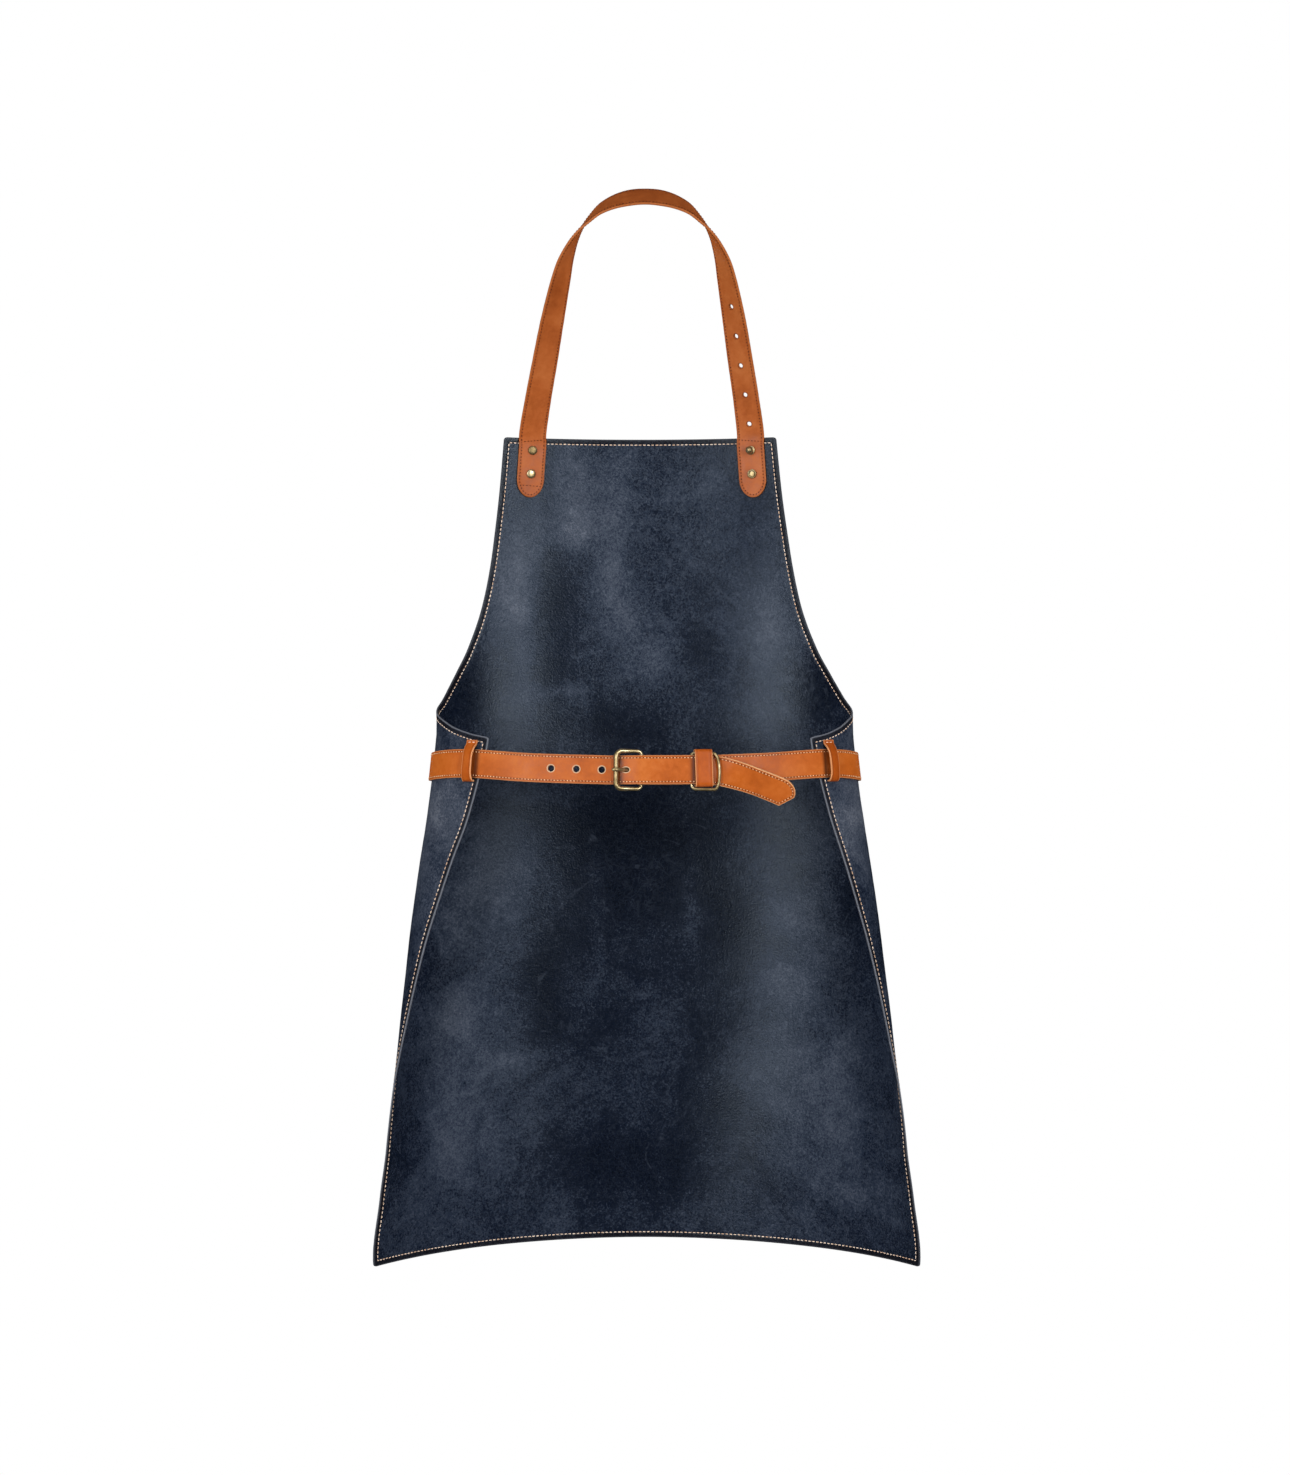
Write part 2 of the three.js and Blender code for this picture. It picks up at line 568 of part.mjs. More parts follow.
// The rest of the belt: round the waist to the buckle, and on to the tip of the free end.
function beltRound() {
  const tipTurn = BELT_ROUTE[BELT_ROUTE.length - 1].turn;
  const turns = [...beltTurns(HEEL.turn, tipTurn + 1), tipTurn];
  const spots = turns.map((turn) => ({ turn, ...beltSpot(turn, beltLift(turn)) }));
  let toTip = BELT_TIP_STUB;
  return spots
    .reverse()
    .map(({ turn, at, up, out }, k) => {
      toTip += k > 0 ? at.distanceTo(spots[k - 1].at) : 0;
      const roll = THREE.MathUtils.degToRad(beltRoll(turn));
      const across = up.clone().multiplyScalar(Math.cos(roll)).addScaledVector(out, Math.sin(roll));
      const half = (BELT_WIDTH / 2) * endShare(toTip, BELT_TIP_LENGTH);
      const lowerHalf = (BELT_WIDTH / 2) * Math.min(1, toTip / BELT_TIP_CUT);
      return { at, across, half, lowerHalf };
    })
    .reverse();
}

function beltHole(turn, radius) {
  const spot = beltSpot(turn, beltLift(turn));
  return roundCutter(radius, BELT_THICK + 2 * CUT_MARGIN, spot.at, spot.out);
}

// A block in the axes of a place: its size round, out and up.
function block(spot, round, out, up) {
  const axes = new THREE.Matrix4().makeBasis(spot.round, spot.out, spot.up);
  const box = new THREE.BoxGeometry(round, out, up).applyMatrix4(axes);
  return solid(box.translate(spot.at.x, spot.at.y, spot.at.z));
}

function waistBelt() {
  const made = solid(strip([...beltFold(), ...beltRound()], BELT_THICK));
  const holes = BELT_HOLE_TURNS.map((turn) => beltHole(turn, BELT_HOLE_RADIUS));
  const slot = block(heelBar, 2 * PRONG_SLOT.reach, PRONG_SLOT.depth, PRONG_SLOT.width);
  const usedHole = beltHole(BELT_USED_HOLE_TURN, BELT_USED_HOLE_RADIUS);
  return geometryOf(cutAll(made, [...holes, usedHole, slot]));
}

addPiece("waist_belt", waistBelt(), beltLeather);

// Points of a rounded rectangle, its corners as radii on the left and right.
function roundedOutline(width, height, leftCorner, rightCorner) {
  const [x, y] = [width / 2, height / 2];
  const outline = new THREE.Path();
  outline.absarc(x - rightCorner, y - rightCorner, rightCorner, 0, Math.PI / 2);
  outline.absarc(leftCorner - x, y - leftCorner, leftCorner, Math.PI / 2, Math.PI);
  outline.absarc(leftCorner - x, leftCorner - y, leftCorner, Math.PI, 1.5 * Math.PI);
  outline.absarc(x - rightCorner, rightCorner - y, rightCorner, 1.5 * Math.PI, 2 * Math.PI);
  return outline.getPoints(CORNER_STEPS);
}

// Points of a ring with a straight left bar and a right side that bulges out past its width. A cubic
// curve's middle lies at three quarters of the way to its handles.
function bulgedOutline(width, height, corner, bulge) {
  const [x, y] = [width / 2, height / 2];
  const reach = x + (bulge * 4) / 3;
  const outline = new THREE.Path();
  outline.absarc(corner - x, y - corner, corner, Math.PI / 2, Math.PI);
  outline.absarc(corner - x, corner - y, corner, Math.PI, 1.5 * Math.PI);
  outline.lineTo(x, -y);
  outline.bezierCurveTo(reach, -y, reach, y, x, y);
  return outline.getPoints(BOW_STEPS);
}

// A closed wire ring along an outline that stands upright between a left and a right bar.
function barRing(left, right, rise, outline, radius) {
  const middle = left.at.clone().lerp(right.at, 0.5).addScaledVector(left.up, rise);
  const width = left.at.distanceTo(right.at);
  const sideways = right.at.clone().sub(left.at).normalize();
  const side = new THREE.Vector3().crossVectors(sideways, left.up);
  const stations = outline.map(({ x, y }) => {
    const at = middle.clone().addScaledVector(sideways, x).addScaledVector(left.up, y);
    const share = THREE.MathUtils.clamp(x / width + 0.5, 0, 1);
    return { at, side, radius: THREE.MathUtils.lerp(radius.left, radius.right, share) };
  });
  return geometryOf(solid(wire(stations, true)));
}

// Buckle
const frameLength = toeBar.at.distanceTo(heelBar.at);
const frameHeight = 2 * FRAME_HALF_HEIGHT;
const frameOutline = roundedOutline(frameLength, frameHeight, FRAME_CORNERS.toe, FRAME_CORNERS.heel);
const frameRadius = { left: TOE.radius, right: HEEL.radius };
addPiece("buckle_frame", barRing(toeBar, heelBar, 0, frameOutline, frameRadius), brass);

function buckleProng() {
  const inner = HEEL.radius + GAP;
  const outer = inner + PRONG_RING;
  const half = PRONG_WIDTH / 2;
  const corners = [
    [inner, -half],
    [outer, -half],
    [outer, half],
    [inner, half],
    [inner, -half],
  ].map(([radius, height]) => new THREE.Vector2(radius, height));
  const upright = new THREE.Quaternion().setFromUnitVectors(Y_AXIS, heelBar.up);
  const ring = new THREE.LatheGeometry(corners, PRONG_RING_SIDES).applyQuaternion(upright);
  ring.translate(heelBar.at.x, heelBar.at.y, heelBar.at.z);
  const route = new THREE.CatmullRomCurve3(PRONG_ROUTE.map(({ turn, lift }) => beltSpot(turn, lift).at));
  const stations = route.getPoints(PRONG_STEPS).map((at) => ({ at, across: heelBar.up, half }));
  const pin = solid(strip(stations, PRONG_THICK));
  return geometryOf(solid(ring).add(pin));
}

addPiece("buckle_prong", buckleProng(), brass);

// Keeper and its ring
const keeperSpot = beltSpot(KEEPER.turn, 0);

function keeperBand() {
  const depth = KEEPER_LIFTS.front - KEEPER_LIFTS.back + KEEPER.thick;
  const height = KEEPER_RISES.top - KEEPER_RISES.bottom + KEEPER.thick;
  const corner = KEEPER.corner;
  const stations = roundedOutline(depth, height, corner, corner).map(({ x, y }) => {
    const at = keeperSpot.at.clone();
    at.addScaledVector(keeperSpot.out, x + (KEEPER_LIFTS.front + KEEPER_LIFTS.back) / 2);
    at.addScaledVector(keeperSpot.up, y + (KEEPER_RISES.top + KEEPER_RISES.bottom) / 2);
    return { at, across: keeperSpot.round, half: KEEPER.width / 2 };
  });
  return geometryOf(solid(strip(stations, KEEPER.thick, true)));
}

addPiece("belt_keeper", keeperBand(), beltLeather);

const ringLeft = beltSpot(RING_LEFT.turn, RING_LEFT.lift);
const ringRight = beltSpot(RING_RIGHT.turn, RING_RIGHT.lift);
const ringWidth = ringLeft.at.distanceTo(ringRight.at);
const ringOutline = bulgedOutline(ringWidth, RING.top - RING.bottom, RING.corner, RING.bulge);
const ringRadius = { left: RING.radius, right: RING.radius };
const ringRise = (RING.top + RING.bottom) / 2;
addPiece("keeper_ring", barRing(ringLeft, ringRight, ringRise, ringOutline, ringRadius), brass);

// Belt loops
const LOOP_SEAT = PANEL_THICK / 2 + GAP + LOOP_THICK / 2;

function beltLoop(turn) {
  const route = LOOP_ROUTE.map(({ drop, lift }) => {
    const frame = bodyFrame(turn, drop);
    return frame.at.addScaledVector(frame.out, LOOP_SEAT + lift);
  });
  const { round } = bodyFrame(turn, LOOP_ROUTE[0].drop);
  const curve = new THREE.CatmullRomCurve3(route);
  const stations = curve.getPoints(LOOP_STEPS).map((at) => ({ at, across: round, half: LOOP_WIDTH / 2 }));
  return geometryOf(solid(strip(stations, LOOP_THICK)));
}

for (const [side, turn] of Object.entries(LOOP_TURNS)) {
  addPiece(`belt_loop_${side}`, beltLoop(turn), beltLeather);
}

export default apron;
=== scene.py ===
import math

import bpy
import numpy as np
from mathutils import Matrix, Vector
from mathutils.kdtree import KDTree


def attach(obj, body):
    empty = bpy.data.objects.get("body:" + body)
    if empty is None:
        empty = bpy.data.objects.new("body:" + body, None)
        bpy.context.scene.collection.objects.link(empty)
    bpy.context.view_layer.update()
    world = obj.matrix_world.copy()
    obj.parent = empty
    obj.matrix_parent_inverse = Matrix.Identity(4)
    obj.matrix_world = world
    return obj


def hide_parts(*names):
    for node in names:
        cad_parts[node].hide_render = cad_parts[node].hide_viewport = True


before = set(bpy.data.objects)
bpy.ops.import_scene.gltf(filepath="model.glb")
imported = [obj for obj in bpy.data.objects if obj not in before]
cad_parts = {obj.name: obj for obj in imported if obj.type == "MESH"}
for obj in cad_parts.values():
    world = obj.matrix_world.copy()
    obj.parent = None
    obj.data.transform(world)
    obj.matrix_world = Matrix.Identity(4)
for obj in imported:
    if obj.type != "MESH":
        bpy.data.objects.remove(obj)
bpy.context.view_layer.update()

# The shapes are worked out in millimetres in the CAD model's frame: +Z is up, the wearer faces +Y, and a
# drop is a distance below the middle of the neck strap. Meshes are in metres.
MM = 0.001

# Photograph and camera
IMAGE_HEIGHT = 1475
FOCAL_PIXELS = 2400
SENSOR_WIDTH = 36
CAMERA_AT = (0, -2.34, -0.5274)

# Clearance between neighbouring pieces, as in the CAD model
GAP = 0.3

# Half of the small step, in degrees and in millimetres, over which the body's slopes are taken
SLOPE_STEP = 0.5

# Leather panel: the body's oval at each level and how much of it the panel covers, as drop, half width, half
# depth, front, half angle of wrap, turn round the body and sideways offset
PANEL_THICK = 2
PANEL_SECTIONS = [
    (222, 222, 100, 122, 38.5, 0, -5),
    (276, 219.5, 95, 126, 40.8, 0, -4.5),
    (317, 218, 91.5, 129, 43, 0, -4),
    (357, 216, 88, 131, 45.7, 0, -3.5),
    (398, 214, 84, 133, 49.8, 0, -3.2),
    (439, 212, 80, 134, 57, 0, -2.6),
    (460, 210.5, 78, 134, 63.2, 0, -2),
    (480, 209, 76.5, 134, 71, 0, -1.4),
    (491, 208, 76, 134, 77.5, 0, -1),
    (501, 207, 76, 134, 90, -0.5, -0.6),
    (510, 206.8, 76, 134, 104.5, -1, -0.4),
    (518, 207, 76, 134, 114.5, -1.5, -0.3),
    (524, 207.2, 76.2, 134, 123.5, -2, -0.2),
    (528, 207.5, 76.4, 134, 130.7, -2, -0.2),
    (569, 211.7, 78.3, 134.5, 128, -2, -0.1),
    (608, 216.8, 80.5, 135, 125, -2, 0),
    (647, 222.8, 84, 135.4, 121, -1.6, 0.2),
    (686, 228, 88.5, 135.8, 117, -1.2, 0.6),
    (725, 232.8, 93.5, 136.3, 112.8, -0.9, 0.8),
    (764, 236.8, 99.5, 136.8, 108.8, -0.6, 1),
    (803, 240.8, 106.7, 137.2, 104.8, -0.3, 1.1),
    (842, 244.3, 116.7, 137.7, 99.5, 0, 1.2),
    (881, 248, 135.6, 138.1, 91, 0, 1.3),
    (929, 257.5, 169, 138.7, 80, 0, 1.4),
    (978, 279.5, 221, 139.2, 68.5, 0, 1.5),
    (1043.5, 321, 318, 140, 56, 0, 1.6),
]
PANEL_TOP = PANEL_SECTIONS[0][0]
PANEL_HEM = PANEL_SECTIONS[-1][0]

# Distances from an edge of the panel at which its grid has lines, and the steps of the grid further in
PANEL_EDGE_LINES = [0, 0.35, 0.9, 1.8, 2.9, 4, 4.8, 5.5, 6.2, 7, 8.2, 10]
PANEL_COLUMNS = 142
PANEL_ROW_STEP = 4.2
ARMHOLE_ROW_STEP = 1.2
ARMHOLE_DROPS = (478, 540)
PANEL_CORNER = 3

# Roundness of the panel's cut edge, the share of its thickness left at the rim, and how far and how strongly
# the paler cut shows on the inner and the outer side
PANEL_EDGE_ROUND = 0.9
PANEL_RIM_SHARE = 0.5
CUT_REACH = (0.5, 1.6)
INNER_CUT = 0.15
OUTER_CUT = 0.8

# Low swells of the panel: height, lengths across and down, and phase; a finer ripple in the same way, with a
# second length and phase down; where they fade out, near the belt and above the ends of the strap's tabs
SWELL_SCALE = 0.7
SWELLS = [(0.5, 34, 83, 1.2), (0.4, 53, -61, 0.4)]
RIPPLE = (0.3, 21, 47, 29, 2)
BELT_LEVEL = 557
BELT_FADE = (24, 60)
TAB_FADE_LEVEL = 300
TAB_FADE = 40

# Stitching of the panel: distance from the edge, pitch, length of a stitch, thread and groove
SEAM_INSET = 5.5
SEAM_PITCH = 4.3
SEAM_STITCH = 3.8
SEAM_THREAD = 0.52
SEAM_GROOVE = 0.3
SEAM_GROOVE_REACH = 0.8

# A stitch: how much thinner its ends are, how far its middle stands out and how far its ends dip, as shares
# of the thread's radius; its sides and the places of its rings; the step along the line that stitches follow
STITCH_TAPER = 0.45
STITCH_RISE = 0.25
STITCH_DIP = 1.5
STITCH_SIDES = 6
STITCH_PLACES = np.linspace(0, 1, 5)
STITCH_LINE_STEP = 0.5

# Steps of a finely drawn outline, and how much nearer to it a line inside it may come
OUTLINE_DROP_STEP = 0.05
OUTLINE_STEP = 0.18
INSET_TOLERANCE = 0.05

# Neck strap: tab rows as drop and distance from the middle; free rows as distance from the middle, distance
# ahead of the neck, drop and roll of the width
STRAP_WIDTH = 28
STRAP_THICK = 2.5
STRAP_SWAY = -3.5
STRAP_END_LENGTH = 19
STRAP_HOLE_RADIUS = 2.3
STRAP_HOLE_FIRST = 75
STRAP_HOLE_PITCH = 30.5
STRAP_HOLES = 5
TAB_ROWS = [(282, 115.3), (258, 113.7), (241, 112.5), (228, 111.6)]
TAB_BRIDGE = 0.3
TAB_BACK = PANEL_THICK / 2 + GAP + TAB_BRIDGE
TAB_FRONT = TAB_BACK + STRAP_THICK
STRAP_ROUTE = [
    (111, 104.4, 220, 16),
    (105.4, 91, 185, 27),
    (98, 75, 147, 33),
    (90.8, 59, 110, 41.5),
    (82.6, 42, 73.5, 54.5),
    (77.6, 33, 55, 67),
    (69.7, 24, 37.5, 84),
    (61.6, 17.5, 26, 98),
    (53.4, 13, 18, 108),
    (43, 8.5, 9.6, 118),
    (29, 4, 3.8, 127),
    (14.6, 1, 0.9, 132),
    (0, 0, 0, 132),
]

# Rivets and ball stud
RIVET_UPPER_DROP = 234.5
RIVET_LOWER_DROP = 258.3
RIVET_SHANK = 1.5
RIVET_HEAD_RADIUS = 4.6
RIVET_HEAD_HEIGHT = 1.7
RIVET_BACK_RADIUS = 3.6
RIVET_BACK_HEIGHT = 1
STUD_NECK_RADIUS = 2
STUD_NECK_TOP = 2.9
STUD_BALL_RADIUS = 3.9
LATHE_SIDES = 40

# Waist belt: route as turn, lift, drop and roll
BELT_WIDTH = 28
BELT_THICK = 2.6
BELT_EASE = 0.25
BELT_TIP_LENGTH = 17
BELT_TIP_CUT = 9.55
BELT_HOLE_RADIUS = 3.1
BELT_USED_HOLE_RADIUS = 3.6
BELT_USED_HOLE_HALF_WIDTH = 2.3
BELT_HOLE_TURNS = [-154.6, -161.8, -168.7]
BELT_USED_HOLE_TURN = -175.1
BELT_SEAT = PANEL_THICK / 2 + GAP + BELT_EASE + BELT_THICK / 2
BELT_ROUTE = [
    (180.9, 1.85, 559, 0),
    (177, 0.4, 559, 0),
    (172, 0, 559, 0),
    (150, 0, 557, 0),
    (122, 0, 553, 0),
    (90, 0, 557, 0),
    (0, 0, 562, 0),
    (-90, 0, 557, 0),
    (-124, 0, 553, 0),
    (-150, 0, 557, 0),
    (-166, 0.1, 558.5, 0),
    (-172.5, 1, 559, 0),
    (-179.1, 4.9, 559, 0),
    (-186, 4.9, 559, 0),
    (-192.1, 6.3, 559, 0),
    (-195.4, 5.2, 559.1, 0),
    (-199.1, 2.95, 560, 0),
    (-203.2, 5.3, 563.4, 13),
    (-206.7, 6.7, 567.3, 23),
    (-210.4, 8.2, 572, 28),
    (-214, 9.6, 577, 28),
    (-220.8, 12, 587, 28),
]

# Buckle: turn, lift and radius of its bars; the prong's route as turn and lift
HEEL = (180.9, -1.5, 1.75)
TOE = (-172.5, 5.5, 2.4)
FRAME_HALF_HEIGHT = 18.2
TOE_CORNER = 6
HEEL_CORNER = 4
FOLD_BACK = (170, -3.1)
FOLD_SHARPNESS = 4
PRONG_WIDTH = 3.8
PRONG_THICK = 2
PRONG_RING = 1.5
PRONG_SLOT_WIDTH = 5
PRONG_SLOT_REACH = 9
PRONG_ROUTE = [(-178.4, -1.4), (-176.5, -0.6), (-175.1, 1.9), (-174, 5.8), (-172.6, 9.2), (-171.5, 9.1)]

# Keeper and its ring
KEEPER_TURN = -195.4
KEEPER_WIDTH = 17
KEEPER_THICK = 1.8
KEEPER_CORNER = 2.2
KEEPER_LIFTS = (-1.7, 8)
KEEPER_RISES = (-14.7, 18.2)
RING_RADIUS = 1.5
RING_RISES = (-18.6, 16.3)
RING_CORNER = 4
RING_BULGE = 5.5
RING_LEFT = (-192.1, 3.15)
RING_RIGHT = (-198.1, 6.25)

# Belt loops on the flap corners: drop and lift
LOOP_WIDTH = 12
LOOP_THICK = 1.8
LOOP_TURNS = {"left": -126, "right": 120.4}
LOOP_SEAT = PANEL_THICK / 2 + GAP + LOOP_THICK / 2
LOOP_ROUTE = [
    (530, 0),
    (533.5, 0.2),
    (537.4, 3.6),
    (543, 6.2),
    (553, 7),
    (563, 6.4),
    (567.6, 4.6),
    (569.8, 2.4),
    (570.2, 0),
]

# Grid lines across a strap, as distances from its edge, and the step along it
STRIP_EDGE_LINES = [0, 0.3, 0.8, 1.5, 2.1, 2.5, 2.9, 3.6, 5, 7]
STRIP_STEP = 2
STRIP_EDGE_ROUND = 0.8
STRIP_RIM_SHARE = 0.45
STRIP_CREASE_INSET = 2.5
STRIP_CREASE_DEPTH = 0.15
STRIP_CREASE_REACH = 0.5
STRIP_END_ANGLES = [5, 10, 16, 23, 31, 40, 48, 56, 64, 72, 80]

# How pale a cut edge is at first, and the length over which it gets paler
RIM_SHARE = 0.4
RIM_CHANGE = 12

# Reach along the belt of the painted shadows beside its fittings, and their distances from the fittings'
# middles
PAINTED_SHADOW_REACH = 2.8
LOOP_PAINTED_SHADOW = 7
TOE_PAINTED_SHADOW = 4
KEEPER_PAINTED_SHADOW = 10

# Block of cells that a hole takes up: half width, half length in radii and least steps along; for the slot
# of the prong, half width and how far it goes past the slot's ends; how square a round hole and the slot are
HOLE_SPAN = 7
HOLE_BLOCK = 2
BLOCK_STEPS = 4
SLOT_SPAN = 5
SLOT_MARGIN = 2
HOLE_SQUARENESS = 2
SLOT_SQUARENESS = 5

# Rings round a hole: distance from its edge, depth below the skin and how pale the rim is
HOLE_RINGS = [(1.2, 0, 0), (0.85, -0.06, 0.9), (0.4, -0.02, 1), (0.12, 0.12, 0.8), (0, 0.35, 0.1)]

# Stitching of the straps
EDGE_PITCH = 3.2
EDGE_STITCH = 2.1
EDGE_THREAD = 0.55


def unit(vectors):
    return vectors / np.linalg.norm(vectors, axis=-1, keepdims=True)


def lerp(start, end, share):
    return start + (end - start) * share


def column(rows, index):
    """A smooth curve through one column of a table, flat at its peaks and with no overshoot between rows."""
    table = np.array(rows, float)
    if table[0, 0] > table[-1, 0]:
        table = table[::-1]
    x, y = table[:, 0], table[:, index]
    chord = np.diff(y) / np.diff(x)
    product = chord[:-1] * chord[1:]
    total = np.where(product > 0, chord[:-1] + chord[1:], 1)
    inner = np.where(product > 0, 2 * product / total, 0)
    slope = np.concatenate([chord[:1], inner, chord[-1:]])

    def value(place):
        place = np.clip(np.asarray(place, float), x[0], x[-1])
        i = np.clip(np.searchsorted(x, place, side="right") - 1, 0, len(x) - 2)
        span = x[i + 1] - x[i]
        t = (place - x[i]) / span
        lean = t * (1 - t) * span * (slope[i] * (1 - t) - slope[i + 1] * t)
        return y[i] + (y[i + 1] - y[i]) * t * t * (3 - 2 * t) + lean

    return value


half_width, half_depth, front, wrap, panel_turn, sway = (column(PANEL_SECTIONS, i) for i in range(1, 7))


def body_point(turn, drop):
    """The point of the body's oval at an angle in degrees, 0 at the front, and a drop."""
    turn, drop = np.broadcast_arrays(np.asarray(turn, float), np.asarray(drop, float))
    angle = np.radians(turn)
    x = sway(drop) + half_width(drop) * np.sin(angle)
    y = front(drop) - half_depth(drop) * (1 - np.cos(angle))
    return np.stack([x, y, -drop], axis=-1)


def body_frame(turn, drop):
    """The body's surface at a point: the place and the ways round it, up it and out of it."""
    turn, drop = np.asarray(turn, float), np.asarray(drop, float)
    around = unit(body_point(turn + SLOPE_STEP, drop) - body_point(turn - SLOPE_STEP, drop))
    up = unit(body_point(turn, drop - SLOPE_STEP) - body_point(turn, drop + SLOPE_STEP))
    return body_point(turn, drop), around, up, unit(np.cross(up, around))


GAUSS_PLACES, GAUSS_WEIGHTS = np.polynomial.legendre.leggauss(48)
NEWTON_ROUNDS = 7


def oval_speed(angle, drop):
    return np.hypot(half_width(drop) * np.cos(angle), half_depth(drop) * np.sin(angle))


def arc(turn, drop):
    """The length round the body from the front to a turn."""
    half = np.radians(turn) / 2
    angle = half[..., None] * (GAUSS_PLACES + 1)
    return half * (oval_speed(angle, np.asarray(drop)[..., None]) * GAUSS_WEIGHTS).sum(-1)


def turn_at(length, drop):
    """The turn at a length round the body from the front."""
    angle = length / half_width(drop)
    for _ in range(NEWTON_ROUNDS):
        angle = angle - (arc(np.degrees(angle), drop) - length) / oval_speed(angle, drop)
    return np.degrees(angle)


def catmull_rom(points, count):
    """A smooth centripetal curve through points, as count + 1 places along it."""
    points = np.array(points, float)
    padded = np.vstack([2 * points[0] - points[1], points, 2 * points[-1] - points[-2]])
    steps = np.sum(np.diff(padded, axis=0) ** 2, axis=1) ** 0.25
    place = np.linspace(0, len(points) - 1, count + 1)
    i = np.minimum(place.astype(int), len(points) - 2)
    t = (place - i)[:, None]
    p0, p1, p2, p3 = (padded[i + k] for k in range(4))
    d0, d1, d2 = (steps[i + k][:, None] for k in range(3))
    leave = ((p1 - p0) / d0 - (p2 - p0) / (d0 + d1) + (p2 - p1) / d1) * d1
    arrive = ((p2 - p1) / d1 - (p3 - p1) / (d1 + d2) + (p3 - p2) / d2) * d1
    bend = 3 * (p2 - p1) - 2 * leave - arrive
    return p1 + leave * t + bend * t**2 + (2 * (p1 - p2) + leave + arrive) * t**3


def closed(points, is_closed):
    """Rows of points, with the first row again at the end if they go round."""
    return np.vstack([points, points[:1]]) if is_closed else points


def distances_along(points):
    return np.concatenate([[0], np.cumsum(np.linalg.norm(np.diff(points, axis=0), axis=1))])


def resample(points, step, is_closed):
    """Points at an even step along a line, fitted to a whole number of steps."""
    line = closed(points, is_closed)
    at = distances_along(line)
    count = max(1, round(at[-1] / step))
    wanted = np.linspace(0, at[-1], count + 1)[: count if is_closed else None]
    return np.stack([np.interp(wanted, at, line[:, i]) for i in range(line.shape[1])], axis=1)


def edge_distances(points, outline):
    """How far flat points lie from a finely drawn outline."""
    tree = KDTree(len(outline))
    for i, (x, y) in enumerate(outline):
        tree.insert((x, y, 0), i)
    tree.balance()
    flat = points.reshape(-1, 2)
    return np.array([tree.find((x, y, 0))[2] for x, y in flat]).reshape(points.shape[:-1])


def inset_line(outline, inset):
    """The line that runs inside a closed flat outline at a distance from it."""
    step = np.roll(outline, -1, axis=0) - np.roll(outline, 1, axis=0)
    x, y = outline[:, 0], outline[:, 1]
    area = np.sum(x * np.roll(y, -1) - y * np.roll(x, -1))
    side = np.stack([-step[:, 1], step[:, 0]], axis=1) * np.sign(area)
    moved = outline + inset * unit(side)
    return moved[edge_distances(moved, outline) > inset - INSET_TOLERANCE]


def smooth_step(value, low, high):
    t = np.clip((value - low) / (high - low), 0, 1)
    return t * t * (3 - 2 * t)


def rounded_share(distance, radius, rim):
    """How much of a sheet's half thickness is there at a distance from its rounded edge."""
    to_go = 1 - np.clip(distance / radius, 0, 1)
    return rim + (1 - rim) * np.sqrt(1 - to_go**2)


def make_object(name, points, faces, material, attributes=None, sharp_angle=55):
    """A mesh object from points in millimetres."""
    mesh = bpy.data.meshes.new(name)
    mesh.from_pydata((np.asarray(points).reshape(-1, 3) * MM).tolist(), [], faces)
    for key, values in (attributes or {}).items():
        layer = mesh.attributes.new(key, "FLOAT", "POINT")
        layer.data.foreach_set("value", np.asarray(values, np.float32).ravel())
    mesh.shade_smooth()
    mesh.set_sharp_from_angle(angle=math.radians(sharp_angle))
    mesh.materials.append(material)
    made = bpy.data.objects.new(name, mesh)
    bpy.context.scene.collection.objects.link(made)
    return made


def add_piece(made, slot, *nodes):
    """Puts a piece on the apron, in place of the CAD nodes that it stands for."""
    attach(made, "root")
    if nodes:
        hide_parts(*nodes)
    return made


def sheet_faces(rows, columns, blocks=(), is_ring=False):
    """Faces of two grids back to back, joined along their open edges, with blocks of cells left out."""
    index = np.arange(rows * columns).reshape(rows, columns)
    wrapped = closed(index, is_ring)
    keep = np.ones((len(wrapped) - 1, columns - 1), bool)
    for k0, k1, i0, i1 in blocks:
        keep[k0:k1, i0:i1] = False
    back = rows * columns
    a, b, c, d = wrapped[:-1, :-1], wrapped[1:, :-1], wrapped[1:, 1:], wrapped[:-1, 1:]
    quads = np.stack([a[keep], b[keep], c[keep], d[keep]], axis=1)
    rims = [(wrapped[1:, 0], wrapped[:-1, 0]), (wrapped[:-1, -1], wrapped[1:, -1])]
    if not is_ring:
        rims += [(index[0, :-1], index[0, 1:]), (index[-1, 1:], index[-1, :-1])]
    edges = [np.stack([p, q, q + back, p + back], axis=1) for p, q in rims]
    return np.vstack([quads, quads[:, ::-1] + back, *edges]).tolist()


def circle(first, second, sides):
    """Steps round a circle, or an oval, from its two half axes. The axes may be rows of vectors."""
    angle = np.arange(sides) * 2 * math.pi / sides
    return first[..., None, :] * np.cos(angle)[:, None] + second[..., None, :] * np.sin(angle)[:, None]


def tube_faces(rings, sides, is_closed=False):
    """Faces between rings of points that follow one another."""
    index = closed(np.arange(rings * sides).reshape(rings, sides), is_closed)
    turned = np.roll(index, -1, axis=1)
    return np.stack([index[:-1], turned[:-1], turned[1:], index[1:]], axis=-1).reshape(-1, 4)


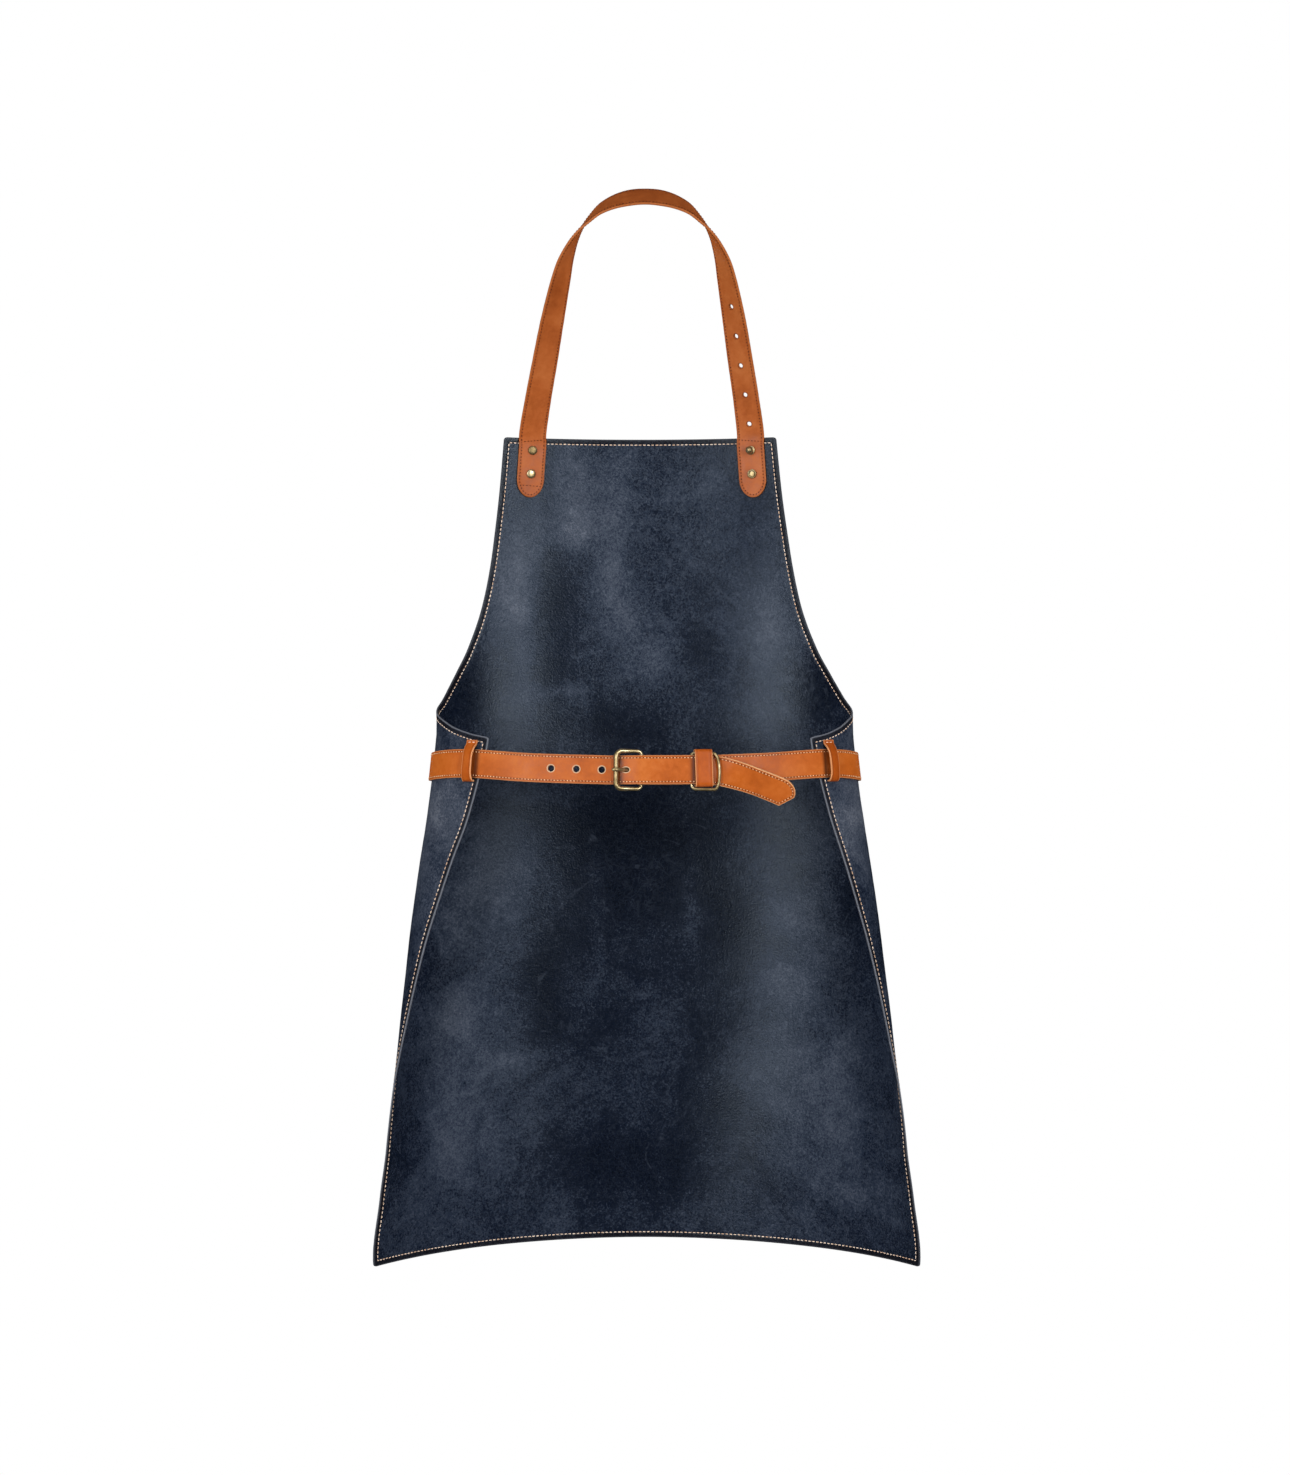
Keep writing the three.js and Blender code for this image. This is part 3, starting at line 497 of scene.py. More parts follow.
def stitch_mesh(centres, normals, thread):
    """Points and faces of short stitches, each a run of rings that dips into the leather at both ends."""
    count, rings = centres.shape[:2]
    along = unit(np.gradient(centres, axis=1))
    across = unit(np.cross(along, normals))
    from_middle = np.abs(np.linspace(-1, 1, rings))
    radius = thread * (1 - STITCH_TAPER * from_middle**4)
    rise = thread * (STITCH_RISE - STITCH_DIP * from_middle**3)
    rim = circle(across, np.cross(across, along), STITCH_SIDES)
    points = centres[:, :, None] + normals[:, :, None] * rise[:, None, None] + rim * radius[:, None, None]
    size = rings * STITCH_SIDES
    walls = tube_faces(rings, STITCH_SIDES)[:, [0, 3, 2, 1]]
    first = np.arange(STITCH_SIDES)
    last = np.arange(size - 1, size - 1 - STITCH_SIDES, -1)
    faces = []
    for base in range(0, count * size, size):
        faces += (walls + base).tolist()
        faces += [(first + base).tolist(), (last + base).tolist()]
    return points.reshape(-1, 3), faces


def stitch_spots(line, pitch, length, is_closed):
    """Flat places of the rings of the stitches along a line."""
    line = closed(line, is_closed)
    at = distances_along(line)
    count = max(1, int(at[-1] / pitch))
    start = (np.arange(count) + 0.5) * at[-1] / count - length / 2
    wanted = start[:, None] + length * STITCH_PLACES
    return np.stack([np.interp(wanted, at, line[:, i]) for i in range(2)], axis=-1)


def join_meshes(parts):
    """Several lists of points and faces as one."""
    points, faces, base = [], [], 0
    for part_points, part_faces in parts:
        points.append(part_points)
        faces += [[i + base for i in face] for face in part_faces]
        base += len(part_points)
    return np.vstack(points), faces


# Materials
def srgb(red, green, blue):
    """A colour given as 0 to 255, in linear light."""
    share = np.array([red, green, blue]) / 255
    linear = np.where(share <= 0.04045, share / 12.92, ((share + 0.055) / 1.055) ** 2.4)
    return (*linear.tolist(), 1)


class Nodes:
    """A node tree with short calls that add nodes to it."""

    def __init__(self, tree):
        self.tree = tree

    def put(self, socket, value):
        if isinstance(value, bpy.types.NodeSocket):
            self.tree.links.new(value, socket)
        else:
            socket.default_value = value

    def add(self, kind, inputs, **settings):
        made = self.tree.nodes.new(kind)
        for name, value in settings.items():
            setattr(made, name, value)
        for name, value in inputs.items():
            self.put(made.inputs[name], value)
        return made

    def span(self, value, low, high, to_low=0.0, to_high=1.0):
        """A value that goes smoothly from one limit to another while another value crosses its own span."""
        inputs = {"Value": value, "From Min": low, "From Max": high, "To Min": to_low, "To Max": to_high}
        made = self.add("ShaderNodeMapRange", inputs, interpolation_type="SMOOTHSTEP")
        return made.outputs["Result"]


class Shader(Nodes):
    """A material, with short calls for its textures and colours."""

    def __init__(self, name):
        self.material = bpy.data.materials.new(name)
        self.material.use_nodes = True
        super().__init__(self.material.node_tree)
        self.surface = self.tree.nodes["Principled BSDF"]
        self.place = self.tree.nodes.new("ShaderNodeTexCoord").outputs["Object"]

    def set(self, **values):
        for name, value in values.items():
            self.put(self.surface.inputs[name.replace("_", " ")], value)

    def noise(self, scale, detail, roughness, distortion=0, place=None):
        inputs = {"Vector": place or self.place, "Scale": scale, "Detail": detail}
        inputs |= {"Roughness": roughness, "Distortion": distortion}
        return self.add("ShaderNodeTexNoise", inputs).outputs["Fac"]

    def lines(self, scale, detail, distortion, width):
        """Thin winding lines, 1 on a line and 0 away from it."""
        noise = self.noise(scale, detail, 0.5, distortion)
        away = self.maths("ABSOLUTE", self.maths("SUBTRACT", noise, 0.5))
        return self.span(away, 0, width, 1, 0)

    def cells(self, scale, place=None):
        inputs = {"Vector": place or self.place, "Scale": scale}
        return self.add("ShaderNodeTexVoronoi", inputs, feature="SMOOTH_F1").outputs["Distance"]

    def attribute(self, name):
        return self.add("ShaderNodeAttribute", {}, attribute_name=name).outputs["Fac"]

    def maths(self, operation, first, second=0.0):
        return self.add("ShaderNodeMath", {0: first, 1: second}, operation=operation).outputs[0]

    def mix(self, share, first, second):
        return self.add("ShaderNodeMix", {0: share, 6: first, 7: second}, data_type="RGBA").outputs[2]

    def ramp(self, value, stops):
        """A colour for a value, from stops that each give a place and a red, green and blue."""
        made = self.add("ShaderNodeValToRGB", {"Fac": value})
        elements = made.color_ramp.elements
        while len(elements) < len(stops):
            elements.new(0.5)
        for element, (place, *colour) in zip(elements, stops):
            element.position = place
            element.color = srgb(*colour)
        return made.outputs["Color"]

    def stretched(self, x, y, z):
        """Coordinates scaled by different amounts on each axis."""
        made = self.add("ShaderNodeVectorMath", {0: self.place, 1: (x, y, z)}, operation="MULTIPLY")
        return made.outputs[0]

    def bump(self, height, strength, distance, normal=None):
        inputs = {"Height": height, "Strength": strength, "Distance": distance * MM}
        if normal:
            inputs["Normal"] = normal
        return self.add("ShaderNodeBump", inputs).outputs["Normal"]


# Colours as places on a scale, red, green and blue
PANEL_TONES = [
    (0.0, 6, 12, 24),
    (0.3, 14, 21, 35),
    (0.55, 34, 42, 57),
    (0.8, 64, 70, 83),
    (1.0, 99, 104, 115),
]
BRASS_TONES = [(0.35, 138, 118, 80), (0.5, 174, 154, 112), (0.65, 202, 186, 148)]
PALE_LINE = srgb(88, 96, 110)
PANEL_BORDER = srgb(17, 14, 16)
PANEL_CUT = srgb(116, 119, 128)
# Colour of the painted shadows beside the belt's loops, buckle toe bar and keeper
PAINTED_SHADOW_COLOUR = srgb(58, 24, 8)
PANEL_SHEEN = (0.75, 0.88, 1, 1)


def panel_leather():
    """Dark blue waxed leather, rubbed lighter in patches, with fine grain, pale veins and creases; the
    patches also hold painted sheen bands and painted shade.
    """
    s = Shader("panel_leather")
    clouds = s.noise(15, 5, 0.6, 1.1)
    mottle = s.noise(70, 6, 0.66, 1.0)
    pebble = s.noise(180, 4, 0.6, 0.3)
    fine = s.noise(480, 3, 0.65)
    # Rubbed patches, with painted sheen bands and painted shade among them
    shade = s.attribute("wear_and_painted_light")
    for texture, amount in ((clouds, 0.7), (mottle, 0.26), (pebble, 0.26), (fine, 0.85)):
        shade = s.maths("ADD", shade, s.maths("MULTIPLY", s.maths("SUBTRACT", texture, 0.5), amount))
    colour = s.ramp(shade, PANEL_TONES)
    vein = s.maths("MULTIPLY", s.lines(9, 5, 0.7, 0.014), s.span(mottle, 0.45, 0.65, 0, 0.2))
    crease = s.maths("MULTIPLY", s.lines(48, 4, 0.9, 0.03), s.span(clouds, 0.42, 0.62, 0.01, 0.1))
    fibre = s.maths("MULTIPLY", s.lines(230, 3, 1.2, 0.06), s.span(shade, 0.15, 0.7, 0.07, 0.36))
    pale = s.maths("MAXIMUM", s.maths("MAXIMUM", vein, crease), fibre)
    colour = s.mix(pale, colour, PALE_LINE)
    border = s.span(s.attribute("edge"), 4.4, 5.4, 1, 0)
    colour = s.mix(s.maths("MULTIPLY", border, 0.75), colour, PANEL_BORDER)
    colour = s.mix(s.attribute("cut"), colour, PANEL_CUT)
    s.set(Base_Color=colour, Roughness=s.span(shade, 0.1, 0.9, 0.25, 0.34))
    sheen = s.maths("MULTIPLY", s.attribute("gloss"), 0.22)
    s.set(Specular_IOR_Level=sheen, Specular_Tint=PANEL_SHEEN)
    grain = s.bump(s.cells(700), 0.45, 0.3)
    grain = s.bump(fine, 0.45, 0.35, grain)
    s.set(Normal=s.bump(pale, 0.6, 0.25, grain))
    return s.material


def tan_leather(name, groove_shade, dark, middle, light, rim, hole, crease, seed):
    """Oiled tan leather with darker clouds, fine grain, burnished edges and pale cut rims, a darkened stitch
    groove that is partly waxed groove and partly painted shade, and painted shadows beside fittings.
    """
    s = Shader(name)
    place = s.add("ShaderNodeVectorMath", {0: s.place, 1: (seed, seed, seed)}, operation="ADD").outputs[0]
    clouds = s.noise(24, 5, 0.6, 0.4, place=place)
    mottle = s.noise(170, 5, 0.65, 0.3, place=place)
    blend = s.maths("ADD", s.maths("MULTIPLY", clouds, 0.7), s.maths("MULTIPLY", mottle, 0.3))
    colour = s.ramp(blend, [(0.25, *dark), (0.5, *middle), (0.8, *light)])
    edge = s.attribute("edge")
    burnish = s.span(edge, 0.8, 3.4, 1, 0)
    colour = s.mix(s.maths("MULTIPLY", burnish, 0.4), colour, srgb(*dark))
    # The stitch groove is darkened: partly a darker waxed groove, partly painted shade of the groove and
    # needle holes
    from_crease = s.maths("ABSOLUTE", s.maths("SUBTRACT", edge, STRIP_CREASE_INSET))
    colour = s.mix(s.span(from_crease, 0.3, 0.9, crease, 0), colour, srgb(*groove_shade))
    # Painted shadow beside the fittings
    colour = s.mix(s.maths("MULTIPLY", s.attribute("painted_shadow"), 0.9), colour, PAINTED_SHADOW_COLOUR)
    cut = s.maths("MULTIPLY", s.span(edge, 0.3, 1.1, 0.85, 0), s.attribute("rim"))
    colour = s.mix(cut, colour, srgb(*rim))
    colour = s.mix(s.maths("MULTIPLY", s.attribute("hole"), 0.9), colour, srgb(*hole))
    s.set(Base_Color=colour, Roughness=s.span(mottle, 0.3, 0.7, 0.34, 0.48), Specular_IOR_Level=0.2)
    grain = s.bump(s.cells(1100, place), 0.22, 0.2)
    s.set(Normal=s.bump(mottle, 0.15, 0.3, grain))
    return s.material


def thread(name, light, dark):
    """Waxed thread with a twist and some soiling."""
    s = Shader(name)
    soil = s.noise(140, 4, 0.6)
    strands = s.noise(3200, 2, 0.5)
    colour = s.mix(s.span(soil, 0.35, 0.65), srgb(*light), srgb(*dark))
    s.set(Base_Color=colour, Roughness=s.span(strands, 0.3, 0.7, 0.6, 0.8), Specular_IOR_Level=0.3)
    s.set(Normal=s.bump(strands, 0.5, 0.2))
    return s.material


def antique_brass():
    """Brass with brown tarnish left in patches and fine scratches."""
    s = Shader("antique_brass")
    tarnish = s.noise(90, 4, 0.55, 0.4)
    scratch = s.noise(900, 3, 0.6, place=s.stretched(0.25, 1, 1))
    colour = s.ramp(tarnish, BRASS_TONES)
    s.set(Base_Color=colour, Metallic=0.85, Roughness=s.span(tarnish, 0.35, 0.65, 0.44, 0.32))
    s.set(Normal=s.bump(scratch, 0.05, 0.1))
    return s.material


PANEL_LEATHER = panel_leather()
STRAP_LEATHER = tan_leather(
    "strap_leather",
    groove_shade=(84, 32, 8),
    dark=(134, 62, 22),
    middle=(170, 89, 41),
    light=(194, 115, 62),
    rim=(172, 98, 50),
    hole=(118, 56, 22),
    crease=0.08,
    seed=3.1,
)
BELT_LEATHER = tan_leather(
    "belt_leather",
    groove_shade=(84, 32, 6),
    dark=(150, 68, 18),
    middle=(184, 92, 30),
    light=(210, 122, 56),
    rim=(232, 176, 126),
    hole=(208, 182, 150),
    crease=0.75,
    seed=7.7,
)
LOOP_LEATHER = tan_leather(
    "loop_leather",
    groove_shade=(92, 36, 8),
    dark=(146, 62, 14),
    middle=(178, 84, 24),
    light=(204, 112, 44),
    rim=(226, 160, 108),
    hole=(150, 80, 36),
    crease=0.15,
    seed=12.3,
)
SEAM_MATERIAL = thread("seam_thread", light=(244, 222, 202), dark=(214, 176, 146))
STRAP_THREAD = thread("strap_thread", light=(112, 50, 22), dark=(74, 30, 12))
BELT_THREAD = thread("belt_thread", light=(242, 196, 152), dark=(204, 144, 98))
BRASS = antique_brass()


# Leather panel
def panel_edges(drop):
    """Flat places of the panel's two edges at a drop, as lengths round the body from the front."""
    to_go = np.clip(PANEL_CORNER - np.minimum(drop - PANEL_TOP, PANEL_HEM - drop), 0, PANEL_CORNER)
    inset = PANEL_CORNER - np.sqrt(PANEL_CORNER**2 - to_go**2)
    left = arc(panel_turn(drop) - wrap(drop), drop) + inset
    right = arc(panel_turn(drop) + wrap(drop), drop) - inset
    return left, right


def panel_outline():
    """The panel's flat outline, from the top left corner round its right side."""
    drops = np.arange(PANEL_TOP, PANEL_HEM + OUTLINE_DROP_STEP / 2, OUTLINE_DROP_STEP)
    left, right = panel_edges(drops)
    sides = np.vstack([np.stack([right, drops], 1), np.stack([left, drops], 1)[::-1]])
    return resample(sides, OUTLINE_STEP, True)


def panel_drops():
    lines = np.array(PANEL_EDGE_LINES)
    stops = [PANEL_TOP + lines[-1], *ARMHOLE_DROPS, PANEL_HEM - lines[-1]]
    steps = [PANEL_ROW_STEP, ARMHOLE_ROW_STEP, PANEL_ROW_STEP]
    rows = [np.linspace(a, b, round((b - a) / step) + 1)[1:] for a, b, step in zip(stops, stops[1:], steps)]
    return np.concatenate([PANEL_TOP + lines, *rows, PANEL_HEM - lines[-2::-1]])


def panel_wave(across, drop):
    """How far the panel's skin lies off its smooth curve: low swells, flat under what is fastened to it."""
    swell = sum(height * np.sin(across / a + drop / b + phase) for height, a, b, phase in SWELLS)
    height, length, fall, second_fall, phase = RIPPLE
    swell = swell + height * np.sin(across / length + drop / fall) * np.sin(drop / second_fall + phase)
    belt = 1 - smooth_step(np.abs(drop - BELT_LEVEL), *BELT_FADE)
    tabs = smooth_step(TAB_FADE_LEVEL - drop, 0, TAB_FADE)
    return SWELL_SCALE * swell * (1 - belt) * (1 - tabs)


def panel_place(across, drop, height):
    """A point of the panel from its flat place and its height over the panel's middle, outwards."""
    at, _, _, out = body_frame(turn_at(across, drop), drop)
    return at + out * (height + panel_wave(across, drop))[..., None], out


PANEL_OUTLINE = panel_outline()

# Rubbed and dark patches of the panel's inner and outer sides, among them painted light: painted sheen bands
# down the inner side's curve, painted shade at the armholes and painted light on the flaps' outer tops by
# the belt.
# Each gives sideways place, drop, reach sideways, reach down, and how much lighter or darker it is than the
# rest
INNER_WEAR = 0.37
INNER_WEAR_AND_LIGHT_PATCHES = [
    (-72, 272, 20, 50, 0.3),
    (-74, 316, 26, 20, 0.25),
    (-30, 284, 20, 66, 0.22),
    (-139, 388, 26, 42, 0.3),
    (-130, 335, 22, 30, 0.2),
    (-124, 455, 16, 75, 0.22),
    (-36, 362, 18, 32, 0.22),
    (-22, 410, 22, 36, 0.18),
    (6, 450, 20, 26, 0.16),
    (-88, 480, 34, 7, 0.2),
    (127, 405, 22, 50, 0.27),
    (125, 492, 24, 46, 0.25),
    (66, 274, 22, 34, 0.1),
    (14, 338, 30, 24, -0.04),
    (44, 372, 26, 34, 0.02),
    (0, 320, 110, 110, 0.08),
    (-176, 900, 60, 130, 0.2),
    (176, 930, 56, 110, 0.2),
    (-160, 690, 40, 70, 0.08),
    (-50, 690, 8, 64, 0.16),
    (47, 684, 8, 60, 0.16),
    (-92, 390, 22, 44, -0.22),
    (-94, 456, 22, 22, -0.2),
    (-44, 510, 62, 20, -0.18),
    (58, 430, 24, 60, -0.18),
    (182, 478, 30, 30, -0.25),
    (-184, 480, 28, 34, -0.26),
    (-192, 812, 24, 30, 0.26),
    (-194, 720, 20, 36, 0.16),
    (-150, 660, 46, 60, 0.2),
    (-140, 856, 40, 12, 0.15),
    (150, 704, 30, 22, 0.2),
    (144, 766, 46, 46, 0.22),
    (164, 868, 46, 24, 0.1),
    (206, 842, 20, 30, 0.14),
    (112, 652, 36, 44, 0.12),
    (-200, 950, 36, 50, 0.1),
    (222, 984, 24, 30, 0.12),
    (0, 650, 84, 90, -0.36),
    (-70, 616, 30, 50, -0.14),
    (88, 704, 22, 60, -0.25),
    (66, 836, 28, 44, -0.18),
    (-106, 780, 20, 60, -0.24),
    (-10, 968, 110, 50, -0.2),
    (-70, 838, 60, 36, -0.13),
    (52, 902, 34, 26, -0.12),
    (214, 694, 16, 50, -0.2),
    (172, 640, 20, 60, 0.14),
    (-246, 920, 20, 60, -0.2),
]
OUTER_WEAR = 0.46
# The lighter patches on the flaps' outer tops by the belt are painted light; the rest are rubbed and dark
# patches
OUTER_WEAR_AND_LIGHT_PATCHES = [
    (-206, 590, 34, 60, 0.36),
    (208, 590, 34, 60, 0.34),
    (-70, 400, 40, 110, 0.2),
    (60, 330, 50, 60, 0.16),
    (90, 720, 60, 130, 0.22),
    (-40, 660, 50, 50, 0.14),
    (-130, 860, 60, 90, 0.22),
    (30, 930, 80, 50, 0.16),
    (10, 560, 150, 50, -0.14),
    (-60, 780, 40, 60, -0.12),
]

# Duller patches of the inner side, in the same way
GLOSS_PATCHES = [
    (110, 306, 42, 74, -0.75),
    (76, 450, 32, 90, -0.6),
    (-86, 430, 24, 70, -0.4),
    (0, 610, 120, 50, -0.4),
    (92, 604, 28, 50, -0.4),
]


def patched(patches, across, drop, base):
    """A value over the panel: a base that patches with soft edges raise or lower."""
    value = np.full(across.shape, float(base))
    for middle, level, reach, fall, amount in patches:
        value += amount * np.exp(-(((across - middle) / reach) ** 2) - ((drop - level) / fall) ** 2)
    return value


def leather_panel():
    drops = panel_drops()
    lines = np.array(PANEL_EDGE_LINES)
    left, right = panel_edges(drops)
    share = np.linspace(0, 1, PANEL_COLUMNS + 1)[1:-1]
    start, end = left + lines[-1], right - lines[-1]
    middle = start[:, None] + (end - start)[:, None] * share
    across = np.hstack([left[:, None] + lines, middle, right[:, None] - lines[::-1]])
    drop = np.broadcast_to(drops[:, None], across.shape)
    edge = edge_distances(np.stack([across, drop], axis=-1), PANEL_OUTLINE)
    half = PANEL_THICK / 2 * rounded_share(edge, PANEL_EDGE_ROUND, PANEL_RIM_SHARE)
    half = half - SEAM_GROOVE * np.exp(-(((edge - SEAM_INSET) / SEAM_GROOVE_REACH) ** 2))
    inner, _ = panel_place(across, drop, -half)
    outer, _ = panel_place(across, drop, half)
    rim = 1 - smooth_step(edge, *CUT_REACH)
    layers = {
        "wear_and_painted_light": [
            patched(INNER_WEAR_AND_LIGHT_PATCHES, inner[..., 0], drop, INNER_WEAR),
            patched(OUTER_WEAR_AND_LIGHT_PATCHES, outer[..., 0], drop, OUTER_WEAR),
        ],
        "gloss": [patched(GLOSS_PATCHES, inner[..., 0], drop, 1), np.ones(edge.shape)],
        "edge": [edge, edge],
        "cut": [INNER_CUT * rim, OUTER_CUT * rim],
    }
    attributes = {key: np.stack(sides) for key, sides in layers.items()}
    points = np.vstack([inner.reshape(-1, 3), outer.reshape(-1, 3)])
    made = make_object("panel", points, sheet_faces(*across.shape), PANEL_LEATHER, attributes)
    return add_piece(made, "panel_leather", "apron_panel")


def panel_stitches():
    line = resample(inset_line(PANEL_OUTLINE, SEAM_INSET), STITCH_LINE_STEP, True)
    spots = stitch_spots(line, SEAM_PITCH, SEAM_STITCH, True)
    parts = []
    for side in (-1, 1):
        height = np.full(spots.shape[:2], side * (PANEL_THICK / 2 - SEAM_GROOVE))
        centres, out = panel_place(spots[..., 0], spots[..., 1], height)
        parts.append(stitch_mesh(centres, side * out, SEAM_THREAD))
    made = make_object("panel_stitches", *join_meshes(parts), SEAM_MATERIAL)
    return add_piece(made, "panel_leather")


# Strips: straps, keeper and loops
class Strip:
    """A flat strip along a path. A place in it is a distance along, an offset across and a height."""

    def __init__(self, points, across, width, thick, ends=(0, 0), cut=0, is_ring=False):
        self.width = width
        self.thick = thick
        self.ends = ends
        self.cut = cut
        self.is_ring = is_ring
        self.pale_from = 0
        self.painted_shadows = []
        self.at = distances_along(closed(points, is_ring))
        self.length = self.at[-1]
        neighbours = np.vstack([points[-1:], points, points[:1]]) if is_ring else points
        along = np.gradient(neighbours, axis=0)
        along = unit(along[1:-1] if is_ring else along)
        across = unit(across - along * np.sum(across * along, axis=1, keepdims=True))
        self.table = closed(np.hstack([points, across, np.cross(along, across)]), is_ring)

    def place(self, along, across, height):
        rows = np.stack([np.interp(along, self.at, self.table[:, i]) for i in range(9)], axis=-1)
        out = unit(rows[..., 6:])
        return rows[..., :3] + rows[..., 3:6] * across[..., None] + out * height[..., None], out

    def halves(self, along):
        """The width on each side of the middle, less towards a rounded end or, below, a slanting cut."""
        share = np.ones(np.shape(along))
        for end, distance in zip(self.ends, (along, self.length - along)):
            if end:
                share = share * np.sqrt(1 - np.clip(1 - distance / end, 0, 1) ** 2)
        lower = np.clip((self.length - along) / self.cut, 0, 1) if self.cut else share
        return self.width / 2 * share, self.width / 2 * lower

    def outline(self):
        along = np.linspace(0, self.length, round(self.length / OUTLINE_STEP))
        upper, lower = self.halves(along)
        sides = np.vstack([np.stack([along, upper], 1), np.stack([along, -lower], 1)[::-1]])
        return resample(sides, OUTLINE_STEP, True)

    def across(self, along):
        """Offsets across the strip of its grid's points, a row for each distance along."""
        columns = strip_columns(self.width) / (self.width / 2)
        upper, lower = self.halves(along)
        return np.where(columns > 0, upper[:, None], lower[:, None]) * columns

    def rim(self, along):
        """How pale the cut edge is, more so past a distance along the strip."""
        return lerp(RIM_SHARE, 1, smooth_step(along, self.pale_from, self.pale_from + RIM_CHANGE))

    def painted_shadow(self, along):
        """How dark the skin is painted beside fittings, as painted shadow that they would cast on it."""
        marks = (np.exp(-(((along - at) / PAINTED_SHADOW_REACH) ** 2)) for at in self.painted_shadows)
        return sum(marks, np.zeros(along.shape))

    def skin(self, edge):
        """Half of the thickness at a distance from the edge, with the crease that edge stitching lies in."""
        off = (edge - STRIP_CREASE_INSET) / STRIP_CREASE_REACH
        crease = STRIP_CREASE_DEPTH * np.exp(-(off**2))
        return self.thick / 2 * rounded_share(edge, STRIP_EDGE_ROUND, STRIP_RIM_SHARE) - crease


def strip_stations(strip, holes):
    """Distances along a strip at which its grid has lines, with an even block of them at each hole."""
    first, last = strip.ends
    angles = np.radians(STRIP_END_ANGLES)
    head = first * (1 - np.cos(angles)) if first else np.array([0.0])
    tail = strip.length - (last * (1 - np.cos(angles)) if last else np.array([0.0]))[::-1]
    blocks = sorted((hole["at"] - hole["block"], hole["at"] + hole["block"]) for hole in holes)
    end = strip.length - last
    stops = [(first, first), *blocks, (end, end)]
    lines = []
    for (low, high), (after, _) in zip(stops, stops[1:]):
        if high > low:
            lines.append(np.linspace(low, high, max(BLOCK_STEPS, round((high - low) / STRIP_STEP)) + 1)[:-1])
        lines.append(np.linspace(high, after, max(1, round((after - high) / STRIP_STEP)) + 1)[:-1])
    inner = np.concatenate(lines)[0 if first else 1 :]
    return np.concatenate([head, inner, [end] if last else [], tail])


def strip_columns(width):
    lines = np.array([line for line in STRIP_EDGE_LINES if line < width / 2 - 1])
    left = -width / 2 + lines
    inner = np.linspace(left[-1], -left[-1], max(2, 2 * round(-left[-1] / STRIP_STEP)) + 1)[1:-1]
    return np.concatenate([left, inner, -left[::-1]])


def hole_rings(hole, loop, along, across):
    """Flat places and lip of the rings that lead from a block's border to a hole's edge."""
    x, y = along[loop[:, 0]] - hole["at"], across[loop[:, 0], loop[:, 1]]
    angle = np.arctan2(y / hole["span"], x / hole["block"])
    power = 2 / hole["squareness"]
    cos, sin = np.cos(angle), np.sin(angle)
    rim_x = hole["reach"] * np.sign(cos) * np.abs(cos) ** power
    rim_y = hole["radius"] * np.sign(sin) * np.abs(sin) ** power
    size = np.hypot(rim_x, rim_y)
    rings = []
    for away, sunk, mark in HOLE_RINGS:
        grow = 1 + away / size
        rings.append((hole["at"] + rim_x * grow, rim_y * grow, sunk, mark))
    return rings


def hole_border(hole, along, across):
    """The block of cells that a hole takes up, and the grid's points round it."""
    k0, k1 = (int(np.argmin(np.abs(along - hole["at"] - side * hole["block"]))) for side in (-1, 1))
    i0 = int(np.argmin(np.abs(across[k0] + hole["span"])))
    i1 = across.shape[1] - 1 - i0
    down = [(k, i0) for k in range(k0, k1)]
    right = [(k1, i) for i in range(i0, i1)]
    up = [(k, i1) for k in range(k1, k0, -1)]
    back = [(k0, i) for i in range(i1, i0, -1)]
    return (k0, k1, i0, i1), np.array(down + right + up + back)


def band(first, second):
    """Faces between two closed rows of points."""
    return np.stack([first, np.roll(first, -1), np.roll(second, -1), second], axis=1)


def strip_object(strip, name, material, holes=()):
    """A strip's front and back skins, with a lip round each hole."""
    along = strip_stations(strip, holes)[: -1 if strip.is_ring else None]
    across = strip.across(along)
    along_grid = np.broadcast_to(along[:, None], across.shape)
    if strip.is_ring:
        edge = strip.width / 2 - np.abs(across)
    else:
        edge = edge_distances(np.stack([along_grid, across], axis=-1), strip.outline())
    rows, columns = across.shape
    size = rows * columns
    skin = strip.skin(edge)
    points = [strip.place(along_grid, across, side * skin)[0].reshape(-1, 3) for side in (1, -1)]
    layers = {
        "edge": [edge.ravel()] * 2,
        "hole": [np.zeros(2 * size)],
        "rim": [strip.rim(along_grid).ravel()] * 2,
        "painted_shadow": [strip.painted_shadow(along_grid).ravel()] * 2,
    }
    base = 2 * size
    blocks, faces = [], []
    for hole in holes:
        block, loop = hole_border(hole, along, across)
        blocks.append(block)
        count = len(loop)
        lips = []
        for face, side in enumerate((1, -1)):
            before = loop[:, 0] * columns + loop[:, 1] + face * size
            for ring_along, ring_across, sunk, mark in hole_rings(hole, loop, along, across):
                height = side * np.full(count, strip.thick / 2 - sunk)
                points.append(strip.place(ring_along, ring_across, height)[0])
                layers["edge"].append(np.full(count, strip.width / 2))
                layers["hole"].append(np.full(count, mark))
                layers["rim"].append(np.zeros(count))
                layers["painted_shadow"].append(strip.painted_shadow(ring_along))
                ring = np.arange(base, base + count)
                base += count
                faces.append(band(before, ring)[:, ::side])
                before = ring
            lips.append(before)
        faces.append(band(*lips))
    all_faces = sheet_faces(rows, columns, blocks, strip.is_ring)
    for quads in faces:
        all_faces += quads.tolist()
    attributes = {key: np.concatenate(parts) for key, parts in layers.items()}
    return make_object(name, np.vstack(points), all_faces, material, attributes)


def round_hole(at, radius):
    return {
        "at": at,
        "reach": radius,
        "radius": radius,
        "block": HOLE_BLOCK * radius,
        "span": HOLE_SPAN,
        "squareness": HOLE_SQUARENESS,
    }


